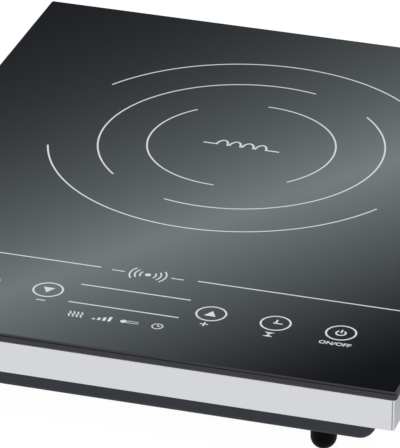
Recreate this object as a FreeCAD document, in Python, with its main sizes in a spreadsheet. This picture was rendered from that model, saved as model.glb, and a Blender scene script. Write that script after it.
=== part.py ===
"""Free-standing induction hob with one cooking zone, as a parametric FreeCAD document.

Frame: +X to the user's right, +Y to the back, +Z up. The origin lies under the middle of the
glass, on the surface that the rubber feet stand on. Every length is in millimetres.
"""
import FreeCAD, Part
import math
import os
import re
import Sketcher

os.makedirs("parts", exist_ok=True)
doc = FreeCAD.newDocument("induction_hob")

# ---------------------------------------------------------------------------------------------
# Driving sizes: one spreadsheet row each, whose alias is the name that every formula below uses
# ---------------------------------------------------------------------------------------------
# Glass plate
glass_width = 300                  # across, left to right
glass_depth = 380                  # front to back
glass_thickness = 4                # glass-ceramic pane
glass_corner_radius = 1.5          # in plan
glass_chamfer = 0.8                # ground bevel round the upper edge
# Silicone seal
seal_thickness = 0.4               # between glass and band
seal_margin = 0.8                  # from each edge of the band's upper flange
# Steel band
glass_overhang = 1.1               # glass past the band, all round
band_height = 16.9                 # outside height
band_gauge = 0.8                   # sheet thickness
band_bend_radius = 0.9             # outside radius of the folds
band_flange_width = 14             # upper flange that carries the glass
corner_slit = 0.5                  # open seam at each corner
# Pan
pan_side_inset = 16.5              # glass edge to pan wall, left and right
pan_end_inset = 18                 # glass edge to pan wall, front and back
pan_drop = 19                      # pan below the band
pan_wall = 2.5                     # moulded wall and floor
pan_corner_radius = 8              # ball corners, in plan and round the floor
pan_clearance = 0.5                # pan to band, sideways
rim_thickness = 2.5                # pan rim on the band's lower return
# Rim screws
screw_hole_radius = 1.8            # in the band's return
side_screw_spacing = 240           # along the left and right sides
# Feet
foot_height = 15.4                 # surface to pan floor
foot_radius = 6.5                  # rubber body
foot_flat_radius = 2.6             # flat at the tip
foot_side_inset = 29.5             # pan side to foot axis
foot_end_inset = 20                # pan front or back to foot axis
# Cord gland
gland_offset_x = 92                # from the middle of the pan
gland_bore_radius = 3.9            # bore for the lead
gland_wall = 1.7                   # sleeve wall
gland_flange_size = 14.4           # square collar outside and inside
gland_flange_thickness = 2.4       # each collar
gland_snout = 6                    # sleeve past the outer collar
gland_block_width = 24             # flat block on the back wall
gland_block_depth = 11             # flat block on the back wall
gland_clearance = 0.05             # sleeve in its hole
# Air outlet
outlet_count = 19                  # slots in the back wall
outlet_pitch = 8                   # slot to slot
outlet_width = 3.4                 # each slot
outlet_height = 8                  # each slot
outlet_offset_x = -25              # middle of the row
# Fan
fan_size = 84                      # square frame
fan_height = 19                    # frame height
fan_wall_gap = 9.5                 # pan wall to frame, at the left
fan_front_gap = 36                 # pan wall to frame, at the front
fan_bore_radius = 39               # venturi
fan_corner_radius = 5              # frame corners
fan_plate = 2.4                    # motor plate and its struts
fan_strut_width = 5                # each strut
fan_strut_count = 4                # struts
bearing_radius = 3.6               # bearing tube outside
bearing_length = 9                 # bearing tube below the motor plate
shaft_radius = 1.5                 # rotor shaft
shaft_clearance = 0.05             # shaft in its bearing
stator_reach = 10.2                # motor core, axis to pole face
stator_height = 6.5                # motor core
pole_width = 9                     # each pole
hub_radius = 15                    # rotor cup
hub_wall = 1.6                     # rotor cup
hub_floor_gap = 1.8                # rotor to inlet guard
hub_plate_gap = 1.4                # rotor cup to motor plate
blade_count = 7                    # fan blades
blade_chord = 20                   # leading to trailing edge
blade_thickness = 1.3              # each blade
blade_pitch = 32                   # degrees to the fan's plane
blade_camber = 2                   # hollow of the blade section
blade_tip_gap = 1.2                # blade tips to the venturi
# Inlet guard
guard_radius = 41                  # round opening in the pan floor
guard_rim = 4                      # outer ring, to the corners of the widest slots
guard_lip = 1.6                    # ledge in the opening that the ring rests on
guard_lip_height = 1               # ledge thickness
guard_clearance = 0.15             # ring in its opening
guard_slot_count = 13              # rows of air slots
guard_bar = 2                      # bar between two rows
guard_spine = 4                    # bar across the middle
# Coil
zone_offset_x = 1.5                # middle of the cooking zone
zone_offset_y = 46.8               # middle of the cooking zone
mica_thickness = 0.5               # insulating sheet under the glass
mica_margin = 2.5                  # sheet past the winding
mica_corner = 50                   # cut off each corner
coil_inner_radius = 21.5           # first turn
coil_outer_radius = 88.5           # last turn
coil_wire_height = 3               # flat layer of litz wire
carrier_web = 1.5                  # plate under the winding
carrier_hub_radius = 30            # plate round the sensor
carrier_rim_width = 4              # outer ring
carrier_arm_width = 15.4           # channel arms
ferrite_count = 8                  # bars and arms
ferrite_length = 48                # radial
ferrite_width = 12                 # across
ferrite_height = 5                 # upright
ferrite_clearance = 0.1            # bar in its channel
ferrite_margin = 13.5              # outer end, inside the last turn
channel_wall = 2                   # arm past the inner end of a bar
lug_count = 3                      # mounting lugs
lug_radius = 7                     # each lug
lug_thickness = 2.6                # each lug
lug_reach = 5                      # lug axis past the outer ring
coil_post_size = 11                # square post on the pan floor
coil_post_height = 14              # post on the pan floor
buffer_size = 9                    # square silicone buffer
# Temperature sensor
sensor_radius = 3                  # sensor can
sensor_height = 3                  # sensor can
holder_radius = 7                  # silicone holder
holder_collar_size = 18            # square collar under the carrier
holder_collar_thickness = 3        # square collar under the carrier
holder_clearance = 0.05            # holder in carrier
# Power board
board_thickness = 1.6              # circuit board
board_standoff = 5.6               # post height
board_gap = 4                      # to the fan, the wall and the coil
board_front_gap = 12               # to the front wall
board_post_size = 6                # square post on the pan floor
board_post_inset = 5.5             # board edge to post axis
# Heat sink
sink_length = 62                   # along the air flow
sink_width = 44                    # across the fins
sink_base = 3                      # base plate
sink_height = 20                   # board to fin tips
fin_thickness = 1.4                # each fin
fin_count = 8                      # fins
sink_edge_gap = 4                  # to the board's left and rear edges
chip_thickness = 5                 # flat power packages
# Board parts
part_gap = 4                       # between parts on the board
chip_width = 16                    # power transistor
chip_length = 21                   # power transistor
rectifier_length = 25              # bridge rectifier
rectifier_width = 15               # bridge rectifier
resonance_length = 32              # film capacitor
resonance_width = 18               # film capacitor
resonance_height = 17              # film capacitor
smoothing_length = 32              # film capacitor
smoothing_width = 14               # film capacitor
smoothing_height = 15              # film capacitor
interference_length = 26           # film capacitor
interference_width = 9             # film capacitor
interference_height = 14           # film capacitor
choke_size = 28                    # square core
choke_height = 14                  # core
choke_limb = 6                     # core limbs
transformer_length = 22            # core
transformer_width = 20             # core
transformer_height = 15            # core
transformer_limb = 5               # core limbs
fuse_length = 20                   # boxed fuse
fuse_width = 6                     # boxed fuse
fuse_height = 9                    # boxed fuse
terminal_length = 24               # terminal block
terminal_width = 10                # terminal block
terminal_height = 11               # terminal block
terminal_count = 3                 # wire holes
terminal_hole = 4                  # square wire holes
# Touch controls
key_row_x = 0.7                    # middle of the row of keys
key_row_y = -138.4                 # middle of the row of keys
key_gap = 83.7                     # between the two inner keys
key_pitch = 32.8                   # inner to outer keys
contact_size = 10                  # square conductive foam foot of each touch sensor
tray_margin = 14                   # tray past the outer keys
tray_depth = 44                    # front to back
tray_height = 8.6                  # below the glass
tray_wall = 1.4                    # moulded wall
tray_ledge = 1                     # board above the tray floor
tray_clearance = 0.1               # board in the tray
control_board_thickness = 1.2      # circuit board
display_length = 48                # display block
display_width = 14                 # display block
display_gap = 0.6                  # display to glass

# every number named above is a driving size
SIZES = {name: amount for name, amount in vars().items() if type(amount) in (int, float)}

sheet = doc.addObject("Spreadsheet::Sheet", "Sizes")
for row, (name, amount) in enumerate(SIZES.items(), start=1):
    sheet.set("A%d" % row, name.replace("_", " "))
    sheet.set("B%d" % row, str(amount))
    sheet.setAlias("B%d" % row, name)
doc.recompute()

# ---------------------------------------------------------------------------------------------
# Places that several pieces share, as formulas of the sizes above
# ---------------------------------------------------------------------------------------------
GLASS_UNDERSIDE = "(foot_height + pan_drop + band_height + seal_thickness)"
BAND_TOP = "(foot_height + pan_drop + band_height)"
BAND_UNDERSIDE = "(foot_height + pan_drop)"
RETURN_TOP = "(foot_height + pan_drop + band_gauge)"
PAN_FLOOR = "(foot_height + pan_wall)"
BAND_HALF_WIDTH = "(glass_width / 2 - glass_overhang)"
BAND_HALF_DEPTH = "(glass_depth / 2 - glass_overhang)"
PAN_HALF_WIDTH = "(glass_width / 2 - pan_side_inset)"
PAN_HALF_DEPTH = "(glass_depth / 2 - pan_end_inset)"
FOOT_X = f"({PAN_HALF_WIDTH} - foot_side_inset)"
FOOT_Y = f"({PAN_HALF_DEPTH} - foot_end_inset)"
FAN_X = f"(pan_wall + fan_wall_gap + fan_size / 2 - {PAN_HALF_WIDTH})"
FAN_Y = f"(pan_wall + fan_front_gap + fan_size / 2 - {PAN_HALF_DEPTH})"
FAN_TOP = f"({PAN_FLOOR} + fan_height)"
MOTOR_PLATE = f"({FAN_TOP} - fan_plate)"
HUB_UNDERSIDE = f"({PAN_FLOOR} + hub_floor_gap)"
HUB_TOP = f"({MOTOR_PLATE} - hub_plate_gap)"
WINDING_TOP = f"({GLASS_UNDERSIDE} - mica_thickness)"
WINDING_UNDERSIDE = f"({WINDING_TOP} - coil_wire_height)"
WEB_UNDERSIDE = f"({WINDING_UNDERSIDE} - carrier_web)"
CARRIER_RADIUS = "(coil_outer_radius + carrier_rim_width / 2)"
FERRITE_START = "(coil_outer_radius - ferrite_margin - ferrite_length)"
LUG_CENTRE = f"({CARRIER_RADIUS} + lug_reach)"
POST_TOP = f"({PAN_FLOOR} + coil_post_height)"
LUG_UNDERSIDE = f"({WINDING_UNDERSIDE} - lug_thickness)"
GLAND_HEIGHT = f"(({PAN_FLOOR} + {BAND_UNDERSIDE}) / 2)"
BOARD_UNDERSIDE = f"({PAN_FLOOR} + board_standoff)"
BOARD_TOP = f"({BOARD_UNDERSIDE} + board_thickness)"
BOARD_LEFT = f"({FAN_X} + fan_size / 2 + board_gap)"
BOARD_RIGHT = f"({PAN_HALF_WIDTH} - pan_wall - board_gap)"
BOARD_FRONT = f"(pan_wall + board_front_gap - {PAN_HALF_DEPTH})"
BOARD_REAR = f"(zone_offset_y - {CARRIER_RADIUS} - board_gap)"
SINK_LEFT = f"({BOARD_LEFT} + sink_edge_gap)"
SINK_REAR = f"({BOARD_REAR} - sink_edge_gap)"
TRAY_FLOOR = f"({GLASS_UNDERSIDE} - tray_height)"
CONTROL_BOARD_UNDERSIDE = f"({TRAY_FLOOR} + tray_wall + tray_ledge)"
CONTROL_BOARD_TOP = f"({CONTROL_BOARD_UNDERSIDE} + control_board_thickness)"
TRAY_LEFT = "(key_row_x - key_gap / 2 - key_pitch - tray_margin)"
TRAY_RIGHT = "(key_row_x + key_gap / 2 + 2 * key_pitch + tray_margin)"
KEY_PLACES = [
    "(key_row_x - key_gap / 2 - key_pitch)",
    "(key_row_x - key_gap / 2)",
    "(key_row_x + key_gap / 2)",
    "(key_row_x + key_gap / 2 + key_pitch)",
    "(key_row_x + key_gap / 2 + 2 * key_pitch)",
]
LUG_TURN = 90
# cuts start and end this far outside the solid
OVERCUT = "1"

# ---------------------------------------------------------------------------------------------
# Small helpers: every number that reaches a feature is a formula bound to the spreadsheet
# ---------------------------------------------------------------------------------------------
UPWARD = FreeCAD.Vector(0, 0, 1)
RIGHT = 1
LEFT = -1
EDGE_TOLERANCE = 1e-4
pieces = []


def bound(formula):
    """The formula with each size's name made a reference to the spreadsheet."""
    return re.sub(r"[a-z_]+", lambda word: "Sizes." + word[0] if word[0] in SIZES else word[0],
                  formula)


def number(formula):
    """What the formula comes to now."""
    result = sheet.evalExpression(bound(formula))
    return float(getattr(result, "Value", result))


def tie(thing, **properties):
    """Binds properties to formulas."""
    for name, formula in properties.items():
        thing.setExpression(name, bound(formula))


def place(thing, x="0", y="0", z="0", turn=None):
    """Binds an object's Placement; turn is in degrees about +Z."""
    thing.setExpression("Placement.Base.x", bound(x))
    thing.setExpression("Placement.Base.y", bound(y))
    thing.setExpression("Placement.Base.z", bound(z))
    if turn is not None:
        thing.setExpression("Placement.Rotation.Angle", bound(turn))


def finish(thing, label):
    """Names a finished sub-part and keeps it for the export."""
    thing.Label = label
    pieces.append(thing)
    return thing


def new_body(label, x="0", y="0", z="0", turn=None):
    body = doc.addObject("PartDesign::Body", "Body_" + label)
    place(body, x, y, z, turn)
    return finish(body, label)


def new_sketch(body, name, plane="XY_Plane", offset="0"):
    """A sketch on one of the body's own origin planes, lifted along the plane's normal."""
    sketch = body.newObject("Sketcher::SketchObject", name)
    support = [item for item in body.Origin.OriginFeatures if item.Role == plane][0]
    sketch.AttachmentSupport = (support, [""])
    sketch.MapMode = "FlatFace"
    sketch.setExpression("AttachmentOffset.Base.z", bound(offset))
    return sketch


def hold(sketch, kind, target, formula):
    """Adds a dimension at its present value, then binds it to its formula."""
    index = sketch.addConstraint(Sketcher.Constraint(kind, *target, number(formula)))
    sketch.setExpression("Constraints[%d]" % index, bound(formula))


def hold_point(sketch, geometry, vertex, x, y):
    hold(sketch, "DistanceX", (-1, 1, geometry, vertex), x)
    hold(sketch, "DistanceY", (-1, 1, geometry, vertex), y)


def add_circle(sketch, radius, x="0", y="0"):
    centre = FreeCAD.Vector(number(x), number(y), 0)
    circle = sketch.addGeometry(Part.Circle(centre, UPWARD, number(radius)), False)
    hold(sketch, "Radius", (circle,), radius)
    hold_point(sketch, circle, 3, x, y)


def add_outline(sketch, start, steps):
    """A closed outline: steps are (x, y) for a line and (x, y, radius, side) for an arc.

    The arc bulges to that side, RIGHT or LEFT, of the direction of travel. The last step ends
    where the outline starts.
    """
    here = start
    chain = []
    for step in steps:
        a = FreeCAD.Vector(number(here[0]), number(here[1]), 0)
        b = FreeCAD.Vector(number(step[0]), number(step[1]), 0)
        if len(step) == 2:
            chain.append((sketch.addGeometry(Part.LineSegment(a, b), False), step, 1, 2))
        else:
            radius = number(step[2])
            half = (b - a).Length / 2
            side = step[3]
            left = FreeCAD.Vector(a.y - b.y, b.x - a.x, 0).normalize() * side
            centre = (a + b) * 0.5 + left * math.sqrt(radius * radius - half * half)
            first, last = (a, b) if side > 0 else (b, a)
            from_angle = math.atan2(first.y - centre.y, first.x - centre.x)
            to_angle = math.atan2(last.y - centre.y, last.x - centre.x)
            arc = Part.ArcOfCircle(Part.Circle(centre, UPWARD, radius), from_angle, to_angle)
            ends = (1, 2) if side > 0 else (2, 1)
            chain.append((sketch.addGeometry(arc, False), step, *ends))
        here = step[:2]
    for index, (item, step, first_end, last_end) in enumerate(chain):
        following = chain[(index + 1) % len(chain)]
        sketch.addConstraint(Sketcher.Constraint("Coincident", item, last_end,
                                                 following[0], following[2]))
    for item, step, first_end, last_end in chain:
        hold_point(sketch, item, last_end, step[0], step[1])
        if len(step) == 4:
            hold(sketch, "Radius", (item,), step[2])


def add_box(sketch, x_low, y_low, x_high, y_high):
    add_outline(sketch, (x_low, y_low),
                [(x_high, y_low), (x_high, y_high), (x_low, y_high), (x_low, y_low)])


def add_square(sketch, size, x, y):
    """A square about the point x, y."""
    add_box(sketch, f"{x} - {size} / 2", f"{y} - {size} / 2", f"{x} + {size} / 2",
            f"{y} + {size} / 2")


def add_round_box(sketch, half_x, half_y, radius):
    """A rectangle about the origin with four equal corner arcs."""
    reach_x = number(half_x) - number(radius)
    reach_y = number(half_y) - number(radius)
    r = number(radius)
    arcs = []
    for turn, (sx, sy) in enumerate([(1, -1), (1, 1), (-1, 1), (-1, -1)]):
        centre = FreeCAD.Vector(sx * reach_x, sy * reach_y, 0)
        start = math.radians(90 * turn - 90)
        arc = Part.ArcOfCircle(Part.Circle(centre, UPWARD, r), start, start + math.pi / 2)
        arcs.append(sketch.addGeometry(arc, False))
    ends = [((reach_x + r, -reach_y), (reach_x + r, reach_y)),
            ((reach_x, reach_y + r), (-reach_x, reach_y + r)),
            ((-reach_x - r, reach_y), (-reach_x - r, -reach_y)),
            ((-reach_x, -reach_y - r), (reach_x, -reach_y - r))]
    lines = [sketch.addGeometry(Part.LineSegment(FreeCAD.Vector(*a, 0), FreeCAD.Vector(*b, 0)),
                                False) for a, b in ends]
    for i in range(4):
        sketch.addConstraint(Sketcher.Constraint("Tangent", arcs[i], 2, lines[i], 1))
        sketch.addConstraint(Sketcher.Constraint("Tangent", lines[i], 2, arcs[(i + 1) % 4], 1))
        upright = "Vertical" if i % 2 == 0 else "Horizontal"
        sketch.addConstraint(Sketcher.Constraint(upright, lines[i]))
    for i in range(3):
        sketch.addConstraint(Sketcher.Constraint("Equal", arcs[i], arcs[i + 1]))
    hold(sketch, "Radius", (arcs[0],), radius)
    hold_point(sketch, arcs[0], 3, f"{half_x} - {radius}", f"{radius} - {half_y}")
    hold_point(sketch, arcs[2], 3, f"{radius} - {half_x}", f"{half_y} - {radius}")


def volume(body):
    doc.recompute()
    return body.Shape.Volume


def pad(body, sketch, length, downward=False):
    """Adds material along the sketch plane's normal, or against it."""
    feature = body.newObject("PartDesign::Pad", sketch.Name + "_pad")
    feature.Profile = sketch
    feature.Reversed = downward
    tie(feature, Length=length)
    doc.recompute()
    return feature


def pocket(body, sketch, length, upward=False):
    """Removes material against the sketch plane's normal, or along it, and checks that it did."""
    before = body.Shape.Volume
    feature = body.newObject("PartDesign::Pocket", sketch.Name + "_pocket")
    feature.Profile = sketch
    feature.Reversed = upward
    tie(feature, Length=length)
    if volume(body) >= before:
        raise RuntimeError(sketch.Name + " cuts nothing")
    return feature


def revolve(body, sketch):
    """Turns a profile once round the sketch's own upright axis."""
    feature = body.newObject("PartDesign::Revolution", sketch.Name + "_turned")
    feature.Profile = sketch
    feature.ReferenceAxis = (sketch, ["V_Axis"])
    feature.Angle = 360
    doc.recompute()
    return feature


def around(body, feature, sketch, count):
    """Repeats a feature about the normal of its sketch."""
    pattern = body.newObject("PartDesign::PolarPattern", feature.Name + "_round")
    pattern.Originals = [feature]
    pattern.Axis = (sketch, ["N_Axis"])
    pattern.Angle = 360
    tie(pattern, Occurrences=count)
    body.Tip = pattern
    doc.recompute()
    return pattern


def along(body, feature, sketch, length, count, axis="H_Axis"):
    """Repeats a feature in a row along one axis of its sketch."""
    pattern = body.newObject("PartDesign::LinearPattern", feature.Name + "_row")
    pattern.Originals = [feature]
    pattern.Direction = (sketch, [axis])
    tie(pattern, Length=length, Occurrences=count)
    body.Tip = pattern
    doc.recompute()
    return pattern


def edges_of(body, wanted):
    """Names of the edges of the body's present shape for which wanted(edge) holds."""
    return ["Edge%d" % (i + 1) for i, edge in enumerate(body.Shape.Edges) if wanted(edge)]


def dress(body, kind, size, wanted):
    """A Fillet or a Chamfer on chosen edges."""
    base = body.Tip
    feature = body.newObject("PartDesign::" + kind, body.Name + "_" + kind)
    feature.Base = (base, edges_of(body, wanted))
    if kind == "Fillet":
        tie(feature, Radius=size)
    else:
        tie(feature, Size=size)
    doc.recompute()
    return feature


def level(edge, height):
    """True for an edge that lies at one height."""
    box = edge.BoundBox
    return abs(box.ZMin - height) < EDGE_TOLERANCE and abs(box.ZMax - height) < EDGE_TOLERANCE


def new_box(name, x, y, z, length, width, height):
    """A Part box with its low corner at x, y, z."""
    box = doc.addObject("Part::Box", name)
    tie(box, Length=length, Width=width, Height=height)
    place(box, x, y, z)
    return box


def new_cylinder(name, x, y, z, radius, height):
    cylinder = doc.addObject("Part::Cylinder", name)
    tie(cylinder, Radius=radius, Height=height)
    place(cylinder, x, y, z)
    return cylinder


def cut(name, base, tool):
    result = doc.addObject("Part::Cut", name)
    result.Base = base
    result.Tool = tool
    return result


def fuse(name, shapes):
    result = doc.addObject("Part::MultiFuse", name)
    result.Shapes = shapes
    return result


def group(name, shapes):
    """Like solids that stay separate but make one sub-part."""
    result = doc.addObject("Part::Compound", name)
    result.Links = shapes
    return result


# ---------------------------------------------------------------------------------------------
# Glass plate and its seal
# ---------------------------------------------------------------------------------------------
def make_glass():
    body = new_body("glass_ceramic_plate", z=GLASS_UNDERSIDE)
    sketch = new_sketch(body, "glass_outline")
    add_round_box(sketch, "glass_width / 2", "glass_depth / 2", "glass_corner_radius")
    pad(body, sketch, "glass_thickness")
    top = number(f"{GLASS_UNDERSIDE} + glass_thickness")
    dress(body, "Chamfer", "glass_chamfer", lambda edge: level(edge, top))


def make_seal():
    body = new_body("silicone_seal", z=BAND_TOP)
    sketch = new_sketch(body, "seal_outline")
    outer = "(seal_margin + band_bend_radius)"
    inner = "(band_flange_width - seal_margin)"
    add_box(sketch, f"{outer} - {BAND_HALF_WIDTH}", f"{outer} - {BAND_HALF_DEPTH}",
            f"{BAND_HALF_WIDTH} - {outer}", f"{BAND_HALF_DEPTH} - {outer}")
    add_box(sketch, f"{inner} - {BAND_HALF_WIDTH}", f"{inner} - {BAND_HALF_DEPTH}",
            f"{BAND_HALF_WIDTH} - {inner}", f"{BAND_HALF_DEPTH} - {inner}")
    pad(body, sketch, "seal_thickness")


# ---------------------------------------------------------------------------------------------
# Folded steel band
# ---------------------------------------------------------------------------------------------
def rim_screw_places():
    """Screws through the band's lower return into the pan's rim."""
    side = f"({PAN_HALF_WIDTH} + {BAND_HALF_WIDTH}) / 2"
    return [(f"{sx} * {side}", f"{sy} * side_screw_spacing / 2")
            for sx in ("-1", "1") for sy in ("-1", "1")]


def make_band():
    body = new_body("steel_frame", z=BAND_UNDERSIDE)
    outline = new_sketch(body, "band_outline")
    add_box(outline, f"-{BAND_HALF_WIDTH}", f"-{BAND_HALF_DEPTH}", BAND_HALF_WIDTH,
            BAND_HALF_DEPTH)
    pad(body, outline, "band_height")
    low = number(BAND_UNDERSIDE)
    high = number(BAND_TOP)
    dress(body, "Fillet", "band_bend_radius", lambda edge: level(edge, low) or level(edge, high))

    hollow = new_sketch(body, "band_hollow", offset="band_gauge")
    half_x = f"({BAND_HALF_WIDTH} - band_gauge)"
    half_y = f"({BAND_HALF_DEPTH} - band_gauge)"
    add_box(hollow, f"-{half_x}", f"-{half_y}", half_x, half_y)
    pocket(body, hollow, "band_height - 2 * band_gauge", upward=True)

    window = new_sketch(body, "glass_window", offset="band_height / 2")
    half_x = f"({BAND_HALF_WIDTH} - band_flange_width)"
    half_y = f"({BAND_HALF_DEPTH} - band_flange_width)"
    add_box(window, f"-{half_x}", f"-{half_y}", half_x, half_y)
    pocket(body, window, "band_height", upward=True)

    mouth = new_sketch(body, "pan_window", offset="band_height / 2")
    add_round_box(mouth, f"({PAN_HALF_WIDTH} + pan_clearance)",
                  f"({PAN_HALF_DEPTH} + pan_clearance)", "(pan_corner_radius + pan_clearance)")
    pocket(body, mouth, "band_height")

    holes = new_sketch(body, "rim_screw_holes", offset="band_height / 2")
    for x, y in rim_screw_places():
        add_circle(holes, "screw_hole_radius", x, y)
    pocket(body, holes, "band_height")

    # the front and back faces end just short of the side walls' outer faces
    slits = new_sketch(body, "corner_slits", offset="band_bend_radius")
    for sx in ("-1", "1"):
        for sy in ("-1", "1"):
            near = f"{sx} * ({BAND_HALF_WIDTH} - band_gauge - corner_slit)"
            far = f"{sx} * ({BAND_HALF_WIDTH} - band_gauge)"
            front = f"{sy} * ({BAND_HALF_DEPTH} - band_gauge - corner_slit)"
            past = f"{sy} * ({BAND_HALF_DEPTH} + band_gauge)"
            add_box(slits, near, front, far, past)
    pocket(body, slits, "band_height - 2 * band_bend_radius", upward=True)


# ---------------------------------------------------------------------------------------------
# Moulded pan
# ---------------------------------------------------------------------------------------------
def board_post_places():
    left = f"({BOARD_LEFT} + board_post_inset)"
    right = f"({BOARD_RIGHT} - board_post_inset)"
    front = f"({BOARD_FRONT} + board_post_inset)"
    rear = f"({BOARD_REAR} - board_post_inset)"
    return [(left, front), (right, front), (right, rear), (left, rear)]


def lug_places():
    """Axes of the coil's mounting lugs, evenly round the cooking zone."""
    places = []
    for index in range(int(number("lug_count"))):
        angle = f"({LUG_TURN} + {index} * 360 / lug_count)"
        places.append((f"(zone_offset_x + {LUG_CENTRE} * cos({angle}))",
                       f"(zone_offset_y + {LUG_CENTRE} * sin({angle}))"))
    return places


def make_pan():
    body = new_body("base_pan")
    wall = new_sketch(body, "pan_outline", offset="foot_height")
    add_round_box(wall, PAN_HALF_WIDTH, PAN_HALF_DEPTH, "pan_corner_radius")
    pad(body, wall, "pan_drop + band_gauge + rim_thickness")
    floor_height = number("foot_height")
    dress(body, "Fillet", "pan_corner_radius", lambda edge: level(edge, floor_height))

    rim = new_sketch(body, "rim_outline", offset=RETURN_TOP)
    reach = "(band_gauge + pan_clearance)"
    add_box(rim, f"{reach} - {BAND_HALF_WIDTH}", f"{reach} - {BAND_HALF_DEPTH}",
            f"{BAND_HALF_WIDTH} - {reach}", f"{BAND_HALF_DEPTH} - {reach}")
    pad(body, rim, "rim_thickness")

    block = new_sketch(body, "gland_block", offset="foot_height")
    add_box(block, "gland_offset_x - gland_block_width / 2",
            f"{PAN_HALF_DEPTH} - gland_block_depth",
            "gland_offset_x + gland_block_width / 2", PAN_HALF_DEPTH)
    pad(body, block, "pan_drop")

    # the hollow stops short of the gland block at the back
    hollow = new_sketch(body, "pan_hollow", offset=PAN_FLOOR)
    x = f"({PAN_HALF_WIDTH} - pan_wall)"
    y = f"({PAN_HALF_DEPTH} - pan_wall)"
    block_left = "(gland_offset_x - gland_block_width / 2)"
    block_right = "(gland_offset_x + gland_block_width / 2)"
    block_front = f"({PAN_HALF_DEPTH} - gland_block_depth)"
    r = "(pan_corner_radius - pan_wall)"
    add_outline(hollow, (f"{x} - {r}", f"-{y}"), [
        (x, f"{r} - {y}", r, RIGHT),
        (x, f"{y} - {r}"),
        (f"{x} - {r}", y, r, RIGHT),
        (block_right, y),
        (block_right, block_front),
        (block_left, block_front),
        (block_left, y),
        (f"{r} - {x}", y),
        (f"-{x}", f"{y} - {r}", r, RIGHT),
        (f"-{x}", f"{r} - {y}"),
        (f"{r} - {x}", f"-{y}", r, RIGHT),
        (f"{x} - {r}", f"-{y}"),
    ])
    pocket(body, hollow, "pan_drop + band_gauge + rim_thickness", upward=True)

    posts = new_sketch(body, "board_posts", offset=PAN_FLOOR)
    for x, y in board_post_places():
        add_square(posts, "board_post_size", x, y)
    pad(body, posts, "board_standoff")
    coil_posts = new_sketch(body, "coil_posts", offset=PAN_FLOOR)
    for x, y in lug_places():
        add_square(coil_posts, "coil_post_size", x, y)
    pad(body, coil_posts, "coil_post_height")

    opening = new_sketch(body, "inlet_opening", offset=f"foot_height - {OVERCUT}")
    add_circle(opening, "guard_radius - guard_lip", FAN_X, FAN_Y)
    pocket(body, opening, f"pan_wall + 2 * {OVERCUT}", upward=True)
    seat = new_sketch(body, "inlet_seat", offset="foot_height + guard_lip_height")
    add_circle(seat, "guard_radius", FAN_X, FAN_Y)
    pocket(body, seat, "pan_wall", upward=True)

    # the XZ plane looks towards -Y, so an offset of -y lies at +y
    behind = f"-{PAN_HALF_DEPTH} - {OVERCUT}"
    bore = new_sketch(body, "gland_hole", plane="XZ_Plane", offset=behind)
    add_circle(bore, "gland_bore_radius + gland_wall + gland_clearance", "gland_offset_x",
               GLAND_HEIGHT)
    pocket(body, bore, f"gland_block_depth + 2 * {OVERCUT}", upward=True)

    slot = new_sketch(body, "outlet_slot", plane="XZ_Plane", offset=behind)
    first = "(outlet_offset_x - outlet_pitch * (outlet_count - 1) / 2)"
    top = f"({BAND_UNDERSIDE} - pan_wall / 2)"
    add_box(slot, f"{first} - outlet_width / 2", f"{top} - outlet_height",
            f"{first} + outlet_width / 2", top)
    slot_cut = pocket(body, slot, f"pan_wall + 2 * {OVERCUT}", upward=True)
    along(body, slot_cut, slot, "outlet_pitch * (outlet_count - 1)", "outlet_count")


def make_inlet_guard():
    """Round guard of parallel bars on a cross bar, dropped into the stepped floor opening."""
    low = "(foot_height + guard_lip_height)"
    thickness = "(pan_wall - guard_lip_height)"
    disc = new_cylinder("Guard_disc", FAN_X, FAN_Y, low, "guard_radius - guard_clearance",
                        thickness)
    reach = "(guard_radius - guard_lip - guard_rim)"
    pitch = f"((2 * {reach} + guard_bar) / guard_slot_count)"
    slots = []
    for index in range(int(number("guard_slot_count"))):
        near = f"({index} * {pitch} - {reach})"
        far = f"({near} + {pitch} - guard_bar)"
        # each slot ends where its outer side meets the solid ring
        outer = near if number(f"{near} + {far}") < 0 else far
        end = f"sqrt(({reach} + guard_bar) * ({reach} + guard_bar) - {outer} * {outer})"
        for side, x in (("left", f"{FAN_X} - {end}"), ("right", f"{FAN_X} + guard_spine / 2")):
            slots.append(new_box("Guard_slot_%s_%d" % (side, index + 1), x, f"{FAN_Y} + {near}",
                                 low, f"{end} - guard_spine / 2", f"{pitch} - guard_bar",
                                 thickness))
    finish(cut("Guard", disc, group("Guard_slots", slots)), "inlet_grille")


def make_feet():
    """Four rubber feet with ball ends, each flattened a little where it stands."""
    flat_depth = "sqrt(foot_radius * foot_radius - foot_flat_radius * foot_flat_radius)"
    feet = []
    for side, sx in (("left", "-1"), ("right", "1")):
        for end, sy in (("front", "-1"), ("rear", "1")):
            name = f"foot_{end}_{side}"
            body = doc.addObject("PartDesign::Body", name)
            place(body, f"{sx} * {FOOT_X}", f"{sy} * {FOOT_Y}")
            section = new_sketch(body, name + "_section", plane="XZ_Plane")
            add_outline(section, ("0", "0"), [
                ("foot_flat_radius", "0"),
                ("foot_radius", flat_depth, "foot_radius", RIGHT),
                ("foot_radius", "foot_height"),
                ("0", "foot_height"),
                ("0", "0"),
            ])
            revolve(body, section)
            feet.append(body)
    finish(group("Feet", feet), "rubber_feet")


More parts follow.
